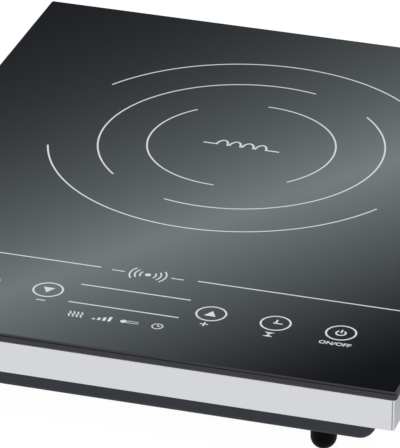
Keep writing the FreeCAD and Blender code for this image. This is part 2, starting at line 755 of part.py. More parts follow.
def make_gland():
    """Cord bush with a square collar on each side of the block, its bore open and empty."""
    body = new_body("cord_gland")
    back = f"-{PAN_HALF_DEPTH}"
    tail = f"{back} - gland_flange_thickness - gland_snout"
    length = "gland_flange_thickness * 2 + gland_snout + gland_block_depth"
    sleeve = new_sketch(body, "gland_sleeve", plane="XZ_Plane", offset=tail)
    add_circle(sleeve, "gland_bore_radius + gland_wall", "gland_offset_x", GLAND_HEIGHT)
    pad(body, sleeve, length)
    for name, offset in (("outer", f"{back} - gland_flange_thickness"),
                         ("inner", f"{back} + gland_block_depth")):
        collar = new_sketch(body, f"gland_{name}_collar", plane="XZ_Plane", offset=offset)
        add_square(collar, "gland_flange_size", "gland_offset_x", GLAND_HEIGHT)
        pad(body, collar, "gland_flange_thickness")
    bore = new_sketch(body, "gland_bore", plane="XZ_Plane", offset=f"{tail} - {OVERCUT}")
    add_circle(bore, "gland_bore_radius", "gland_offset_x", GLAND_HEIGHT)
    pocket(body, bore, f"{length} + 2 * {OVERCUT}", upward=True)


# ---------------------------------------------------------------------------------------------
# Cooling fan
# ---------------------------------------------------------------------------------------------
def make_fan_frame():
    body = new_body("fan_frame", FAN_X, FAN_Y, PAN_FLOOR)
    square = new_sketch(body, "fan_square")
    add_round_box(square, "fan_size / 2", "fan_size / 2", "fan_corner_radius")
    pad(body, square, "fan_height")
    venturi = new_sketch(body, "venturi")
    add_circle(venturi, "fan_bore_radius")
    pocket(body, venturi, "fan_height", upward=True)
    plate = new_sketch(body, "motor_plate", offset="fan_height - fan_plate")
    add_circle(plate, "hub_radius")
    pad(body, plate, "fan_plate")
    strut = new_sketch(body, "strut", offset="fan_height - fan_plate")
    add_box(strut, f"hub_radius - {OVERCUT}", "-fan_strut_width / 2",
            f"fan_bore_radius + {OVERCUT}", "fan_strut_width / 2")
    arm = pad(body, strut, "fan_plate")
    around(body, arm, strut, "fan_strut_count")
    bearing = new_sketch(body, "bearing_tube", offset="fan_height - fan_plate")
    add_circle(bearing, "bearing_radius")
    pad(body, bearing, "bearing_length", downward=True)
    bore = new_sketch(body, "bearing_bore", offset="fan_height - fan_plate - bearing_length")
    add_circle(bore, "shaft_radius + shaft_clearance")
    pocket(body, bore, "bearing_length", upward=True)


def make_stator():
    """Four-pole motor core pressed on the bearing tube under the motor plate."""
    body = new_body("fan_stator", FAN_X, FAN_Y, f"{MOTOR_PLATE} - stator_height")
    poles = new_sketch(body, "poles")
    reach = "stator_reach"
    half = "(pole_width / 2)"
    add_outline(poles, (f"-{half}", f"-{reach}"), [
        (half, f"-{reach}"), (half, f"-{half}"), (reach, f"-{half}"), (reach, half),
        (half, half), (half, reach), (f"-{half}", reach), (f"-{half}", half),
        (f"-{reach}", half), (f"-{reach}", f"-{half}"), (f"-{half}", f"-{half}"),
        (f"-{half}", f"-{reach}"),
    ])
    add_circle(poles, "bearing_radius + shaft_clearance")
    pad(body, poles, "stator_height")


def blade_point(along_chord, across):
    """A point of the tilted blade section, from its place along the chord and across it."""
    middle = f"(({HUB_TOP} - {HUB_UNDERSIDE}) / 2)"
    return (f"({along_chord} * cos(blade_pitch) - {across} * sin(blade_pitch))",
            f"({middle} + {along_chord} * sin(blade_pitch) + {across} * cos(blade_pitch))")


def make_rotor():
    """Cup with a ring of hollow-bellied blades, trimmed to the frame's bore, and its shaft."""
    body = new_body("fan_rotor", FAN_X, FAN_Y, HUB_UNDERSIDE)
    height = f"({HUB_TOP} - {HUB_UNDERSIDE})"
    hub = new_sketch(body, "hub")
    add_circle(hub, "hub_radius")
    pad(body, hub, height)

    half = "(blade_chord / 2)"
    skin = "(blade_thickness / 2)"
    arc = f"(({half} * {half} + blade_camber * blade_camber) / (2 * blade_camber))"
    start = "(hub_radius - 2 * hub_wall)"
    section = new_sketch(body, "blade", plane="YZ_Plane", offset=start)
    leading_low = blade_point(f"-{half}", f"-{skin}")
    add_outline(section, leading_low, [
        (*blade_point(half, f"-{skin}"), arc, RIGHT),
        blade_point(half, skin),
        (*blade_point(f"-{half}", skin), arc, LEFT),
        leading_low,
    ])
    blade = pad(body, section, f"fan_bore_radius - {start}")
    around(body, blade, hub, "blade_count")
    trim = new_sketch(body, "tip_trim")
    add_circle(trim, "fan_bore_radius + blade_chord")
    add_circle(trim, "fan_bore_radius - blade_tip_gap")
    pocket(body, trim, height, upward=True)

    cup = new_sketch(body, "cup", offset="hub_wall")
    add_circle(cup, "hub_radius - hub_wall")
    pocket(body, cup, height, upward=True)
    shaft = new_sketch(body, "shaft", offset="hub_wall / 2")
    add_circle(shaft, "shaft_radius")
    pad(body, shaft, f"{height} + hub_plate_gap - hub_wall")


# ---------------------------------------------------------------------------------------------
# Induction coil
# ---------------------------------------------------------------------------------------------
def make_carrier():
    """Plate with a rim and channelled arms for the ferrite bars, on three mounting lugs."""
    body = new_body("coil_carrier", "zone_offset_x", "zone_offset_y")
    hub = new_sketch(body, "carrier_hub", offset=WEB_UNDERSIDE)
    add_circle(hub, "carrier_hub_radius")
    add_circle(hub, "holder_radius + holder_clearance")
    pad(body, hub, "carrier_web")
    arm = new_sketch(body, "carrier_arm", offset=f"{WEB_UNDERSIDE} - ferrite_height")
    add_box(arm, f"{FERRITE_START} - channel_wall", "-carrier_arm_width / 2",
            f"{CARRIER_RADIUS} - carrier_rim_width / 2", "carrier_arm_width / 2")
    arm_pad = pad(body, arm, "ferrite_height + carrier_web")
    around(body, arm_pad, arm, "ferrite_count")
    channel = new_sketch(body, "ferrite_channel", offset=f"{WEB_UNDERSIDE} - ferrite_height")
    half = "(ferrite_width / 2 + ferrite_clearance)"
    add_box(channel, FERRITE_START, f"-{half}",
            f"{FERRITE_START} + ferrite_length + 2 * ferrite_clearance", half)
    channel_cut = pocket(body, channel, "ferrite_height", upward=True)
    around(body, channel_cut, channel, "ferrite_count")
    rim = new_sketch(body, "carrier_rim", offset=f"{WEB_UNDERSIDE} - carrier_web")
    add_circle(rim, CARRIER_RADIUS)
    add_circle(rim, f"{CARRIER_RADIUS} - carrier_rim_width")
    pad(body, rim, "2 * carrier_web")
    lug = new_sketch(body, "lug", offset=LUG_UNDERSIDE)
    add_box(lug, "-lug_radius", f"{CARRIER_RADIUS} - carrier_rim_width / 2", "lug_radius",
            f"{LUG_CENTRE} + lug_radius")
    lug_pad = pad(body, lug, "lug_thickness")
    around(body, lug_pad, lug, "lug_count")


def make_winding():
    """The turns lie side by side in one flat layer, a disc with an open middle."""
    layer = new_cylinder("Winding_layer", "zone_offset_x", "zone_offset_y", WINDING_UNDERSIDE,
                         "coil_outer_radius", "coil_wire_height")
    middle = new_cylinder("Winding_middle", "zone_offset_x", "zone_offset_y",
                          WINDING_UNDERSIDE, "coil_inner_radius", "coil_wire_height")
    finish(cut("Winding", layer, middle), "coil_winding")


def make_ferrites():
    for index in range(int(number("ferrite_count"))):
        angle = f"({index} * 360 / ferrite_count)"
        start = f"({FERRITE_START} + ferrite_clearance)"
        bar = new_box("Ferrite_%d" % (index + 1),
                      f"zone_offset_x + {start} * cos({angle}) + ferrite_width / 2 * sin({angle})",
                      f"zone_offset_y + {start} * sin({angle}) - ferrite_width / 2 * cos({angle})",
                      f"{WEB_UNDERSIDE} - ferrite_height",
                      "ferrite_length", "ferrite_width", "ferrite_height")
        bar.setExpression("Placement.Rotation.Angle", bound(angle))
        finish(bar, "ferrite_bar_%d" % (index + 1))


def make_mica():
    """Insulating sheet between winding and glass, a square with its corners cut off."""
    body = new_body("mica_sheet", "zone_offset_x", "zone_offset_y", WINDING_TOP)
    sketch = new_sketch(body, "mica_outline")
    reach = "(coil_outer_radius + mica_margin)"
    step = f"({reach} - mica_corner)"
    add_outline(sketch, (f"-{step}", f"-{reach}"), [
        (step, f"-{reach}"), (reach, f"-{step}"), (reach, step), (step, reach),
        (f"-{step}", reach), (f"-{reach}", step), (f"-{reach}", f"-{step}"),
        (f"-{step}", f"-{reach}"),
    ])
    pad(body, sketch, "mica_thickness")


def make_sensor():
    """Sensor can on a silicone holder whose square collar lies under the carrier's hub."""
    seat = f"({WINDING_TOP} - sensor_height)"
    finish(new_cylinder("Sensor", "zone_offset_x", "zone_offset_y", seat, "sensor_radius",
                        "sensor_height"), "temperature_sensor")
    collar_low = f"({WEB_UNDERSIDE} - holder_collar_thickness)"
    plug = new_cylinder("Holder_plug", "zone_offset_x", "zone_offset_y", collar_low,
                        "holder_radius", f"{seat} - {collar_low}")
    collar = new_box("Holder_collar", "zone_offset_x - holder_collar_size / 2",
                     "zone_offset_y - holder_collar_size / 2", collar_low,
                     "holder_collar_size", "holder_collar_size", "holder_collar_thickness")
    finish(fuse("Holder", [plug, collar]), "sensor_holder")


def make_buffers():
    """Silicone buffers on the posts, which press the coil up against the glass."""
    buffers = []
    for index, (x, y) in enumerate(lug_places()):
        buffers.append(new_box("Buffer_%d" % (index + 1), f"{x} - buffer_size / 2",
                               f"{y} - buffer_size / 2", POST_TOP, "buffer_size",
                               "buffer_size", f"{LUG_UNDERSIDE} - {POST_TOP}"))
    finish(group("Buffers", buffers), "coil_buffers")


# ---------------------------------------------------------------------------------------------
# Power electronics
# ---------------------------------------------------------------------------------------------
def make_power_board():
    board = new_box("Power_board", BOARD_LEFT, BOARD_FRONT, BOARD_UNDERSIDE,
                    f"{BOARD_RIGHT} - {BOARD_LEFT}", f"{BOARD_REAR} - {BOARD_FRONT}",
                    "board_thickness")
    finish(board, "power_board")


def make_heat_sink():
    """Extruded comb: a base on two side legs, with a row of fins along the air flow."""
    body = new_body("heat_sink", SINK_LEFT, f"{SINK_REAR} - sink_width", BOARD_TOP)
    section = new_sketch(body, "sink_section", plane="YZ_Plane")
    base_top = "(chip_thickness + sink_base)"
    add_outline(section, ("0", "0"), [
        ("sink_base", "0"),
        ("sink_base", "chip_thickness"),
        ("sink_width - sink_base", "chip_thickness"),
        ("sink_width - sink_base", "0"),
        ("sink_width", "0"),
        ("sink_width", base_top),
        ("0", base_top),
        ("0", "0"),
    ])
    pad(body, section, "sink_length")
    fin = new_sketch(body, "sink_fin", plane="YZ_Plane")
    add_box(fin, "0", f"{base_top} - sink_base / 2", "fin_thickness", "sink_height")
    fin_pad = pad(body, fin, "sink_length")
    along(body, fin_pad, fin, "sink_width - fin_thickness", "fin_count")


def board_box(name, label, x, y, length, width, height):
    """A moulded part standing on the power board with its low corner at x, y."""
    return finish(new_box(name, x, y, BOARD_TOP, length, width, height), label)


def framed_core(name, label, x, y, length, width, height, limb):
    """A ferrite core with its outer limbs cut free of the bobbin on the front and the back."""
    core = new_box(name, x, y, BOARD_TOP, length, width, height)
    windows = []
    for side, low in (("front", "0"), ("rear", f"{width} - {limb}")):
        windows.append(new_box(f"{name}_{side}_window", f"{x} + {limb}", f"{y} + {low}",
                               f"{BOARD_TOP} + {limb}", f"{length} - 2 * {limb}", limb,
                               f"{height} - 2 * {limb}"))
    finish(cut(name + "_core", core, group(name + "_windows", windows)), label)


def make_board_parts():
    chip_y = f"({SINK_REAR} - sink_base - part_gap - rectifier_width)"
    chip_x = f"({SINK_LEFT} + part_gap)"
    board_box("Rectifier", "bridge_rectifier", chip_x, chip_y, "rectifier_length",
              "rectifier_width", "chip_thickness")
    board_box("Transistor", "power_transistor",
              f"{chip_x} + rectifier_length + part_gap", f"{chip_y} - part_gap", "chip_length",
              "chip_width", "chip_thickness")

    column = f"({SINK_LEFT} + sink_length + part_gap)"
    board_box("Resonance", "resonance_capacitor", column, f"{SINK_REAR} - resonance_width",
              "resonance_length", "resonance_width", "resonance_height")
    second = f"({SINK_REAR} - resonance_width - part_gap)"
    board_box("Smoothing", "smoothing_capacitor", column, f"{second} - smoothing_width",
              "smoothing_length", "smoothing_width", "smoothing_height")
    third = f"({second} - smoothing_width - part_gap)"
    board_box("Interference", "interference_capacitor", column,
              f"{third} - interference_width", "interference_length", "interference_width",
              "interference_height")

    row_front = f"({SINK_REAR} - sink_width - part_gap)"
    framed_core("Choke", "choke_coil", SINK_LEFT, f"({row_front} - choke_size)", "choke_size",
                "choke_size", "choke_height", "choke_limb")
    core_x = f"({SINK_LEFT} + choke_size + part_gap)"
    framed_core("Transformer", "switching_transformer", core_x,
                f"({row_front} - transformer_width)", "transformer_length",
                "transformer_width", "transformer_height", "transformer_limb")
    board_box("Fuse", "mains_fuse", f"{core_x} + transformer_length + part_gap",
              f"{row_front} - transformer_width", "fuse_length", "fuse_width", "fuse_height")

    block_x = f"({BOARD_RIGHT} - part_gap - terminal_width)"
    block_y = f"({row_front} - terminal_length - board_post_inset)"
    block = new_box("Terminal_case", block_x, block_y, BOARD_TOP, "terminal_width",
                    "terminal_length", "terminal_height")
    holes = []
    for index in range(int(number("terminal_count"))):
        middle = f"{block_y} + terminal_length * (2 * {index} + 1) / (2 * terminal_count)"
        holes.append(new_box("Terminal_hole_%d" % (index + 1),
                             f"{block_x} + (terminal_width - terminal_hole) / 2",
                             f"{middle} - terminal_hole / 2", f"{BOARD_TOP} + terminal_height / 2",
                             "terminal_hole", "terminal_hole", "terminal_height"))
    finish(cut("Terminal", block, group("Terminal_holes", holes)), "terminal_block")


# ---------------------------------------------------------------------------------------------
# Touch controls, hung under the glass
# ---------------------------------------------------------------------------------------------
def make_controls():
    front = "(key_row_y - tray_depth / 2)"
    rear = "(key_row_y + tray_depth / 2)"
    body = new_body("control_tray", z=TRAY_FLOOR)
    outline = new_sketch(body, "tray_outline")
    add_box(outline, TRAY_LEFT, front, TRAY_RIGHT, rear)
    pad(body, outline, "tray_height")
    for name, inset, height in (("tray_ledge_hollow", "2 * tray_wall", "tray_wall"),
                                ("tray_hollow", "tray_wall", "tray_wall + tray_ledge")):
        hollow = new_sketch(body, name, offset=height)
        add_box(hollow, f"{TRAY_LEFT} + {inset}", f"{front} + {inset}",
                f"{TRAY_RIGHT} - {inset}", f"{rear} - {inset}")
        pocket(body, hollow, "tray_height", upward=True)

    inset = "(tray_wall + tray_clearance)"
    board = new_box("Control_board", f"{TRAY_LEFT} + {inset}", f"{front} + {inset}",
                    CONTROL_BOARD_UNDERSIDE, f"{TRAY_RIGHT} - {TRAY_LEFT} - 2 * {inset}",
                    f"tray_depth - 2 * {inset}", "control_board_thickness")
    finish(board, "control_board")

    contact_height = f"({GLASS_UNDERSIDE} - {CONTROL_BOARD_TOP})"
    for index, x in enumerate(KEY_PLACES):
        foam = new_box("Contact_%d" % (index + 1), f"{x} - contact_size / 2",
                       "key_row_y - contact_size / 2", CONTROL_BOARD_TOP, "contact_size",
                       "contact_size", contact_height)
        finish(foam, "touch_contact_%d" % (index + 1))

    display = new_box("Display", "key_row_x - display_length / 2",
                      "key_row_y - display_width / 2", CONTROL_BOARD_TOP, "display_length",
                      "display_width", f"{contact_height} - display_gap")
    finish(display, "display_module")


make_glass()
make_seal()
make_band()
make_pan()
make_inlet_guard()
make_feet()
make_gland()
make_fan_frame()
make_stator()
make_rotor()
make_carrier()
make_winding()
make_ferrites()
make_mica()
make_sensor()
make_buffers()
make_power_board()
make_heat_sink()
make_board_parts()
make_controls()
doc.recompute()

# ---------------------------------------------------------------------------------------------
# Nothing is written unless every object is sound
# ---------------------------------------------------------------------------------------------
for item in doc.Objects:
    if "Invalid" in item.State or "Error" in item.State:
        raise RuntimeError("%s failed: %s" % (item.Label, item.State))
for piece in pieces:
    if piece.Shape.isNull() or not piece.Shape.isValid():
        raise RuntimeError("%s has no sound shape" % piece.Label)
    if len(piece.Shape.Solids) != 1 and piece.TypeId != "Part::Compound":
        raise RuntimeError("%s has %d solids" % (piece.Label, len(piece.Shape.Solids)))
for piece in pieces:
    piece.Shape.exportStep("parts/%s.step" % piece.Label)
print("%d sub-parts written" % len(pieces))
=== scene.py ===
"""Looks of a free-standing induction hob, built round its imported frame.

The file is laid out as a Blender add-on: settings, one operator for each piece or group of
pieces, one for the stage, and a panel that lists them. Everything is in metres, in the
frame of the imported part: +X to the user's right, +Y to the back, +Z up from the worktop.
"""

import math

import bmesh
import bpy
import numpy as np
from mathutils import Matrix, Vector


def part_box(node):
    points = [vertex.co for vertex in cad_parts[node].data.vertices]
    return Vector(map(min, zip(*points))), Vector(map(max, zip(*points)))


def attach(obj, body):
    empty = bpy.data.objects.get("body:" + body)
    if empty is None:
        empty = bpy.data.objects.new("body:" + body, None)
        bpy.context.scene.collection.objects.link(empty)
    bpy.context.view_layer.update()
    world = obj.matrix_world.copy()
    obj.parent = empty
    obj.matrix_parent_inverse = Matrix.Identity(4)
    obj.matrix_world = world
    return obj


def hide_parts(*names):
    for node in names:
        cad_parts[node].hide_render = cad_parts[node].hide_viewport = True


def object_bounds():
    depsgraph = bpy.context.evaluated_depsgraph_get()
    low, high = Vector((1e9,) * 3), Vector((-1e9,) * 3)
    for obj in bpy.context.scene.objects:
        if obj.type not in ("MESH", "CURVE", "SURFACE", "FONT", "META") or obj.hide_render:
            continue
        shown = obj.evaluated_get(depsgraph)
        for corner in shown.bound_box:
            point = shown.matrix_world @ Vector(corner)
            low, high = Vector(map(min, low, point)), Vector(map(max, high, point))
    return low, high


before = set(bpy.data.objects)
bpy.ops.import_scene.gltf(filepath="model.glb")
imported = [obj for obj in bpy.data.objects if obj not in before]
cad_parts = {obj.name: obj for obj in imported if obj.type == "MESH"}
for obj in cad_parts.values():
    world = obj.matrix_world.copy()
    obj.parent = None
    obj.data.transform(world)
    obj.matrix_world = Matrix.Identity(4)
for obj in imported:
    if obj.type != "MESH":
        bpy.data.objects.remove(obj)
CAD_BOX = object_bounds()

bl_info = {
    "name": "Induction hob looks",
    "version": (1, 0, 0),
    "blender": (4, 5, 0),
    "location": "View3D > Sidebar > Hob",
    "description": "Visible pieces, finishes and studio of a free-standing induction hob",
    "category": "Object",
}

MM = 0.001
GLASS_LOW, GLASS_HIGH = (Vector(corner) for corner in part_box("glass_ceramic_plate"))
FEET_LOW, FEET_HIGH = (Vector(corner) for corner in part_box("rubber_feet"))
BAND_LOW, BAND_HIGH = (Vector(corner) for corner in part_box("steel_frame"))


def linear(hex_colour):
    """An sRGB colour such as "#D0D2D4" as three linear values."""
    levels = np.array([int(hex_colour[i:i + 2], 16) for i in (1, 3, 5)]) / 255
    return tuple(np.where(levels <= 0.04045, levels / 12.92,
                          ((levels + 0.055) / 1.055) ** 2.4).tolist())


# ---- Settings ----------------------------------------------------
def length(name, description, default):
    """A length in metres."""
    return bpy.props.FloatProperty(name=name, description=description, default=default,
                                   unit="LENGTH", subtype="DISTANCE", precision=5)


def angle(name, description, degrees):
    """An angle, given in degrees and kept in radians."""
    return bpy.props.FloatProperty(name=name, description=description,
                                   default=math.radians(degrees), unit="ROTATION",
                                   subtype="ANGLE")


def colour(name, description, hex_colour):
    """A colour, given as sRGB hex and kept as linear values."""
    return bpy.props.FloatVectorProperty(name=name, description=description, size=3,
                                         subtype="COLOR", min=0.0, max=1.0,
                                         default=linear(hex_colour))


class HobPaneSettings(bpy.types.PropertyGroup):
    corner: length("Corner radius", "Rounding of the pane's corners in plan", 1.5 * MM)
    bevel: length("Ground bevel", "Bevel round the upper edge", 0.8 * MM)
    arris: length("Arris", "Worn rounding where two faces of the edge meet", 0.3 * MM)
    easing: length("Easing", "Slope that takes the sharpness off the lower edge", 0.3 * MM)
    tint: colour("Glass", "Body colour of the glass-ceramic", "#0D0D12")
    edge_tint: colour("Ground edge", "Colour of the ground edge and bevel", "#15161C")


class HobPrintSettings(bpy.types.PropertyGroup):
    ink: colour("Ink", "Fired ceramic ink", "#D5D9DA")
    thickness: length("Ink thickness", "Height of the fired ink", 0.02 * MM)
    stroke: length("Line width", "Width of the zone rings and the divider lines", 0.9 * MM)
    ring_inner: length("Inner ring", "Radius of the inner ring", 48.7 * MM)
    ring_middle: length("Middle ring", "Radius of the middle ring", 74.1 * MM)
    ring_outer: length("Outer ring", "Radius of the outer ring", 99.8 * MM)
    key_radius: length("Key circle", "Radius of the circle round a key", 7.3 * MM)


class HobFeetSettings(bpy.types.PropertyGroup):
    radius: length("Foot radius", "Radius of the rubber foot", 6.5 * MM)
    flat: length("Flat at the tip", "Radius of the flat that stands on the worktop", 2.6 * MM)
    rubber: colour("Rubber", "Moulded rubber", "#08080A")


class HobScrewSettings(bpy.types.PropertyGroup):
    head_radius: length("Head radius", "Radius of the pan head", 3.1 * MM)
    head_height: length("Head height", "Height of the pan head", 1.5 * MM)
    recess: length("Recess width", "Width of each arm of the cross recess", 0.8 * MM)
    plating: colour("Plating", "Zinc-plated steel", "#C3C4C6")


class HobSeamSettings(bpy.types.PropertyGroup):
    width: length("Seam width", "Width of the open seam at a corner of the band", 0.5 * MM)
    sheet: length("Sheet", "Thickness of the band's sheet", 0.8 * MM)
    bend: length("Bend", "Outside radius of the folds that the seam stops at", 0.9 * MM)
    recess: length("Recess", "Depth of the solder below the band's face", 0.35 * MM)
    # painted shade: the solder is darker than the steel so that the seam reads dark
    solder_shade: colour("Solder", "Tarnished solder in the seam", "#929397")


class HobFinishSettings(bpy.types.PropertyGroup):
    steel: colour("Stainless steel", "Brushed band", "#D4D5D9")
    # painted light: this colour is lighter than the pan renders, to make up for the dim bounce
    # off the paper
    polymer: colour("Pan", "Moulded black pan", "#4D5056")


class HobStageSettings(bpy.types.PropertyGroup):
    azimuth: angle("Azimuth", "Camera to the right of the front", 17.136)
    elevation: angle("Elevation", "Camera above the worktop", 26.442)
    roll: angle("Roll", "Camera turned about its own axis", 0.345)
    target: bpy.props.FloatVectorProperty(
        name="Target", description="Point in the middle of the view", size=3, subtype="XYZ",
        unit="LENGTH", default=(8.23 * MM, -46.73 * MM, 55.7 * MM))
    distance: length("Distance", "Camera to the target", 2776.7 * MM)
    lens: bpy.props.FloatProperty(name="Lens", description="Focal length", default=445.505,
                                  unit="CAMERA")
    card_distance: length("Card distance", "Soft card to the target", 1.2)
    card_glow: bpy.props.FloatProperty(
        name="Card glow", description="Brightest part of the soft card", default=1.62)


# ---- Shapes, worked out as whole arrays --------------------------
def grid_faces(rows, columns, closed_rows=False):
    """Four-sided faces between neighbours of a grid whose points run row by row, and whose
    last column joins the first."""
    r = np.arange(rows if closed_rows else rows - 1)[:, None]
    c = np.arange(columns)[None, :]
    r_next = (r + 1) % rows
    c_next = (c + 1) % columns
    quads = np.stack([r * columns + c, r * columns + c_next, r_next * columns + c_next,
                      r_next * columns + c], axis=-1)
    return [tuple(quad) for quad in quads.reshape(-1, 4).tolist()]


def rounded_rectangle(half_x, half_y, radius, steps):
    """Points round a rectangle with quarter-circle corners, and the outward direction at each.

    Each corner is its centre plus the radius times (cos, sin) of angles over its quarter turn.
    """
    quarter = np.linspace(0, math.pi / 2, steps)
    turns = (quarter[None, :] + np.arange(4)[:, None] * math.pi / 2).reshape(-1)
    outward = np.stack([np.cos(turns), np.sin(turns)], axis=1)
    signs = np.repeat([[1, 1], [-1, 1], [-1, -1], [1, -1]], steps, axis=0)
    centres = signs * np.array([half_x - radius, half_y - radius])
    return centres + outward * radius, outward


def round_the_rim(path, outward, profile):
    """A profile of (inset, height) carried round a closed path, as rows of points.

    Each point is the path's point moved inwards by the inset, at the profile's height.
    """
    inset, height = np.asarray(profile).T
    flat = path[None, :, :] - outward[None, :, :] * inset[:, None, None]
    lift = np.broadcast_to(height[:, None, None], flat.shape[:2] + (1,))
    return np.concatenate([flat, lift], axis=2)


def eased_corner(before, corner, after, size, steps=4):
    """Replaces a profile's corner by a short curve: points of the parabola whose control
    points lie on both sides of the corner, at the size's distance from it."""
    before, corner, after = (np.asarray(p, float) for p in (before, corner, after))
    a = corner + (before - corner) / np.linalg.norm(before - corner) * size
    b = corner + (after - corner) / np.linalg.norm(after - corner) * size
    t = np.linspace(0, 1, steps)[:, None]
    return (1 - t) ** 2 * a + 2 * t * (1 - t) * corner + t ** 2 * b


def turned(profile, segments, middle):
    """A profile of (radius, height) turned once about an upright axis through the middle."""
    radius, height = np.asarray(profile).T
    turn = np.arange(segments) * 2 * math.pi / segments
    x = middle[0] + radius[:, None] * np.cos(turn)
    y = middle[1] + radius[:, None] * np.sin(turn)
    z = np.broadcast_to(height[:, None], x.shape)
    return np.stack([x, y, z], axis=2)


def capped(rows):
    """Rows of points round a form as one closed mesh, with a flat face on both ends."""
    count, columns = rows.shape[:2]
    faces = grid_faces(count, columns)
    faces.append(tuple(range(columns)))
    faces.append(tuple(range((count - 1) * columns, count * columns)))
    return rows.reshape(-1, 3), faces


def stroke(path, width, low, high, closed=False):
    """A printed line along a path, as a closed bar with a rectangular section.

    Each point of the path is moved half the width to both sides, along the normal of the
    path there, at the low and the high level.
    """
    path = np.asarray(path, float)
    if closed:
        along = np.roll(path, -1, axis=0) - np.roll(path, 1, axis=0)
    else:
        along = np.gradient(path, axis=0)
    across = np.stack([-along[:, 1], along[:, 0]], axis=1)
    across *= width / 2 / np.linalg.norm(across, axis=1, keepdims=True)
    ring = np.empty((len(path), 4, 3))
    ring[:, 0, :2] = ring[:, 3, :2] = path + across
    ring[:, 1, :2] = ring[:, 2, :2] = path - across
    ring[:, :2, 2] = low
    ring[:, 2:, 2] = high
    faces = grid_faces(len(path), 4, closed_rows=closed)
    if not closed:
        last = 4 * (len(path) - 1)
        faces.append((0, 1, 2, 3))
        faces.append((last, last + 1, last + 2, last + 3))
    return ring.reshape(-1, 3), faces


def filled(outline, low, high):
    """A printed solid shape: its outline at two levels, joined by upright faces."""
    outline = np.asarray(outline, float)
    count = len(outline)
    points = np.empty((2, count, 3))
    points[:, :, :2] = outline
    points[0, :, 2] = low
    points[1, :, 2] = high
    return capped(points)


def arc(middle, radius, start, stop, step=3.0):
    """Points on a circle between two angles in degrees, about one step apart."""
    count = max(3, int(abs(stop - start) / step) + 1)
    turn = np.radians(np.linspace(start, stop, count))
    return np.stack([middle[0] + radius * np.cos(turn), middle[1] + radius * np.sin(turn)],
                    axis=1)


def circle(middle, radius, count=64):
    """Points round a whole circle: the middle plus the radius times (cos, sin) of even turns."""
    turn = np.arange(count) * 2 * math.pi / count
    return np.stack([middle[0] + radius * np.cos(turn), middle[1] + radius * np.sin(turn)],
                    axis=1)


def joined(parts):
    """Several meshes of (points, faces) as one."""
    points, faces, offset = [], [], 0
    for part_points, part_faces in parts:
        points.append(part_points)
        faces.extend(np.add(face, offset).tolist() for face in part_faces)
        offset += len(part_points)
    return np.concatenate(points), faces


def in_scene(name, data):
    """A new object with this data, linked to the scene."""
    thing = bpy.data.objects.new(name, data)
    bpy.context.scene.collection.objects.link(thing)
    return thing


# faces that meet at less than this many degrees are shaded as one surface
SMOOTH_ANGLE = 35


def put_piece(name, form, finishes, body, stands_for=(), finish_of_face=None):
    """Makes the object, points its faces outwards and hands it to the frame."""
    points, faces = form
    mesh = bpy.data.meshes.new(name)
    mesh.from_pydata(points.tolist(), [], faces)
    for finish in finishes:
        mesh.materials.append(finish)
    if finish_of_face is not None:
        mesh.polygons.foreach_set("material_index", finish_of_face)
    work = bmesh.new()
    work.from_mesh(mesh)
    bmesh.ops.recalc_face_normals(work, faces=work.faces)
    work.to_mesh(mesh)
    work.free()
    # a cap with many corners is flat, and its shading mustn't bend towards its rim
    mesh.polygons.foreach_set("use_smooth", [len(face) <= 4 for face in faces])
    mesh.set_sharp_from_angle(angle=math.radians(SMOOTH_ANGLE))
    piece = in_scene(name, mesh)
    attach(piece, body)
    if stands_for:
        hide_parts(*stands_for)


# ---- Materials ---------------------------------------------------
def add_node(tree, kind, inputs=None, **settings):
    """Adds one shader node, with its settings, and fills or links its inputs."""
    made = tree.nodes.new(kind)
    for name, value in settings.items():
        setattr(made, name, value)
    for socket, value in (inputs or {}).items():
        if isinstance(value, bpy.types.NodeSocket):
            tree.links.new(value, made.inputs[socket])
        else:
            made.inputs[socket].default_value = value
    return made


def empty_material(name):
    """A material without any nodes, and its tree."""
    material = bpy.data.materials.new(name)
    material.use_nodes = True
    material.node_tree.nodes.clear()
    return material, material.node_tree


def new_material(name, surface):
    """A material with one Principled shader whose constants are set on its own sockets."""
    material, tree = empty_material(name)
    shader = add_node(tree, "ShaderNodeBsdfPrincipled", surface)
    add_node(tree, "ShaderNodeOutputMaterial", {"Surface": shader.outputs["BSDF"]})
    return material, tree, shader


# noise mostly stays between these two values
PATTERN_LOW, PATTERN_HIGH = 0.3, 0.7


def grain(tree, size, stretch=(1, 1, 1), detail=3.0):
    """Noise whose blotches are about one size across, on the object's own coordinates.

    A stretch of 40 along an axis draws the blotches out to 40 sizes in that direction.
    """
    where = add_node(tree, "ShaderNodeTexCoord")
    scaled = add_node(tree, "ShaderNodeMapping",
                      {"Vector": where.outputs["Object"],
                       "Scale": tuple(1 / (size * part) for part in stretch)})
    return add_node(tree, "ShaderNodeTexNoise",
                    {"Vector": scaled.outputs["Vector"], "Scale": 1.0, "Detail": detail,
                     "Roughness": 0.55}).outputs["Fac"]


def shades_of(base, darker, lighter):
    """Two linear colours: the base times each share, with no part above full white."""
    return [tuple(min(1.0, part * share) for part in base) for share in (darker, lighter)]


def spread(level, share):
    """A level less its share, and plus its share."""
    return level * (1 - share), level * (1 + share)


def wear(tree, shader, colours, roughness, shade_pattern, gloss_pattern, relief=None):
    """Lets patterns shade, dull and carve a surface.

    The first pattern blends the two colours. The second takes the roughness from its first
    level, where the pattern is low, to its second, where it is high. The relief is a third
    pattern, with its strength and its depth.
    """
    shade = add_node(tree, "ShaderNodeMix",
                     {"Factor": shade_pattern, "A": (*colours[0], 1), "B": (*colours[1], 1)},
                     data_type="RGBA")
    gloss = add_node(tree, "ShaderNodeMapRange",
                     {"Value": gloss_pattern, "From Min": PATTERN_LOW, "From Max": PATTERN_HIGH,
                      "To Min": roughness[0], "To Max": roughness[1]})
    looks = {"Base Color": shade.outputs["Result"], "Roughness": gloss.outputs["Result"]}
    if relief:
        height, strength, depth = relief
        bump = add_node(tree, "ShaderNodeBump",
                        {"Height": height, "Strength": strength, "Distance": depth})
        looks["Normal"] = bump.outputs["Normal"]
    for socket, look in looks.items():
        tree.links.new(look, shader.inputs[socket])


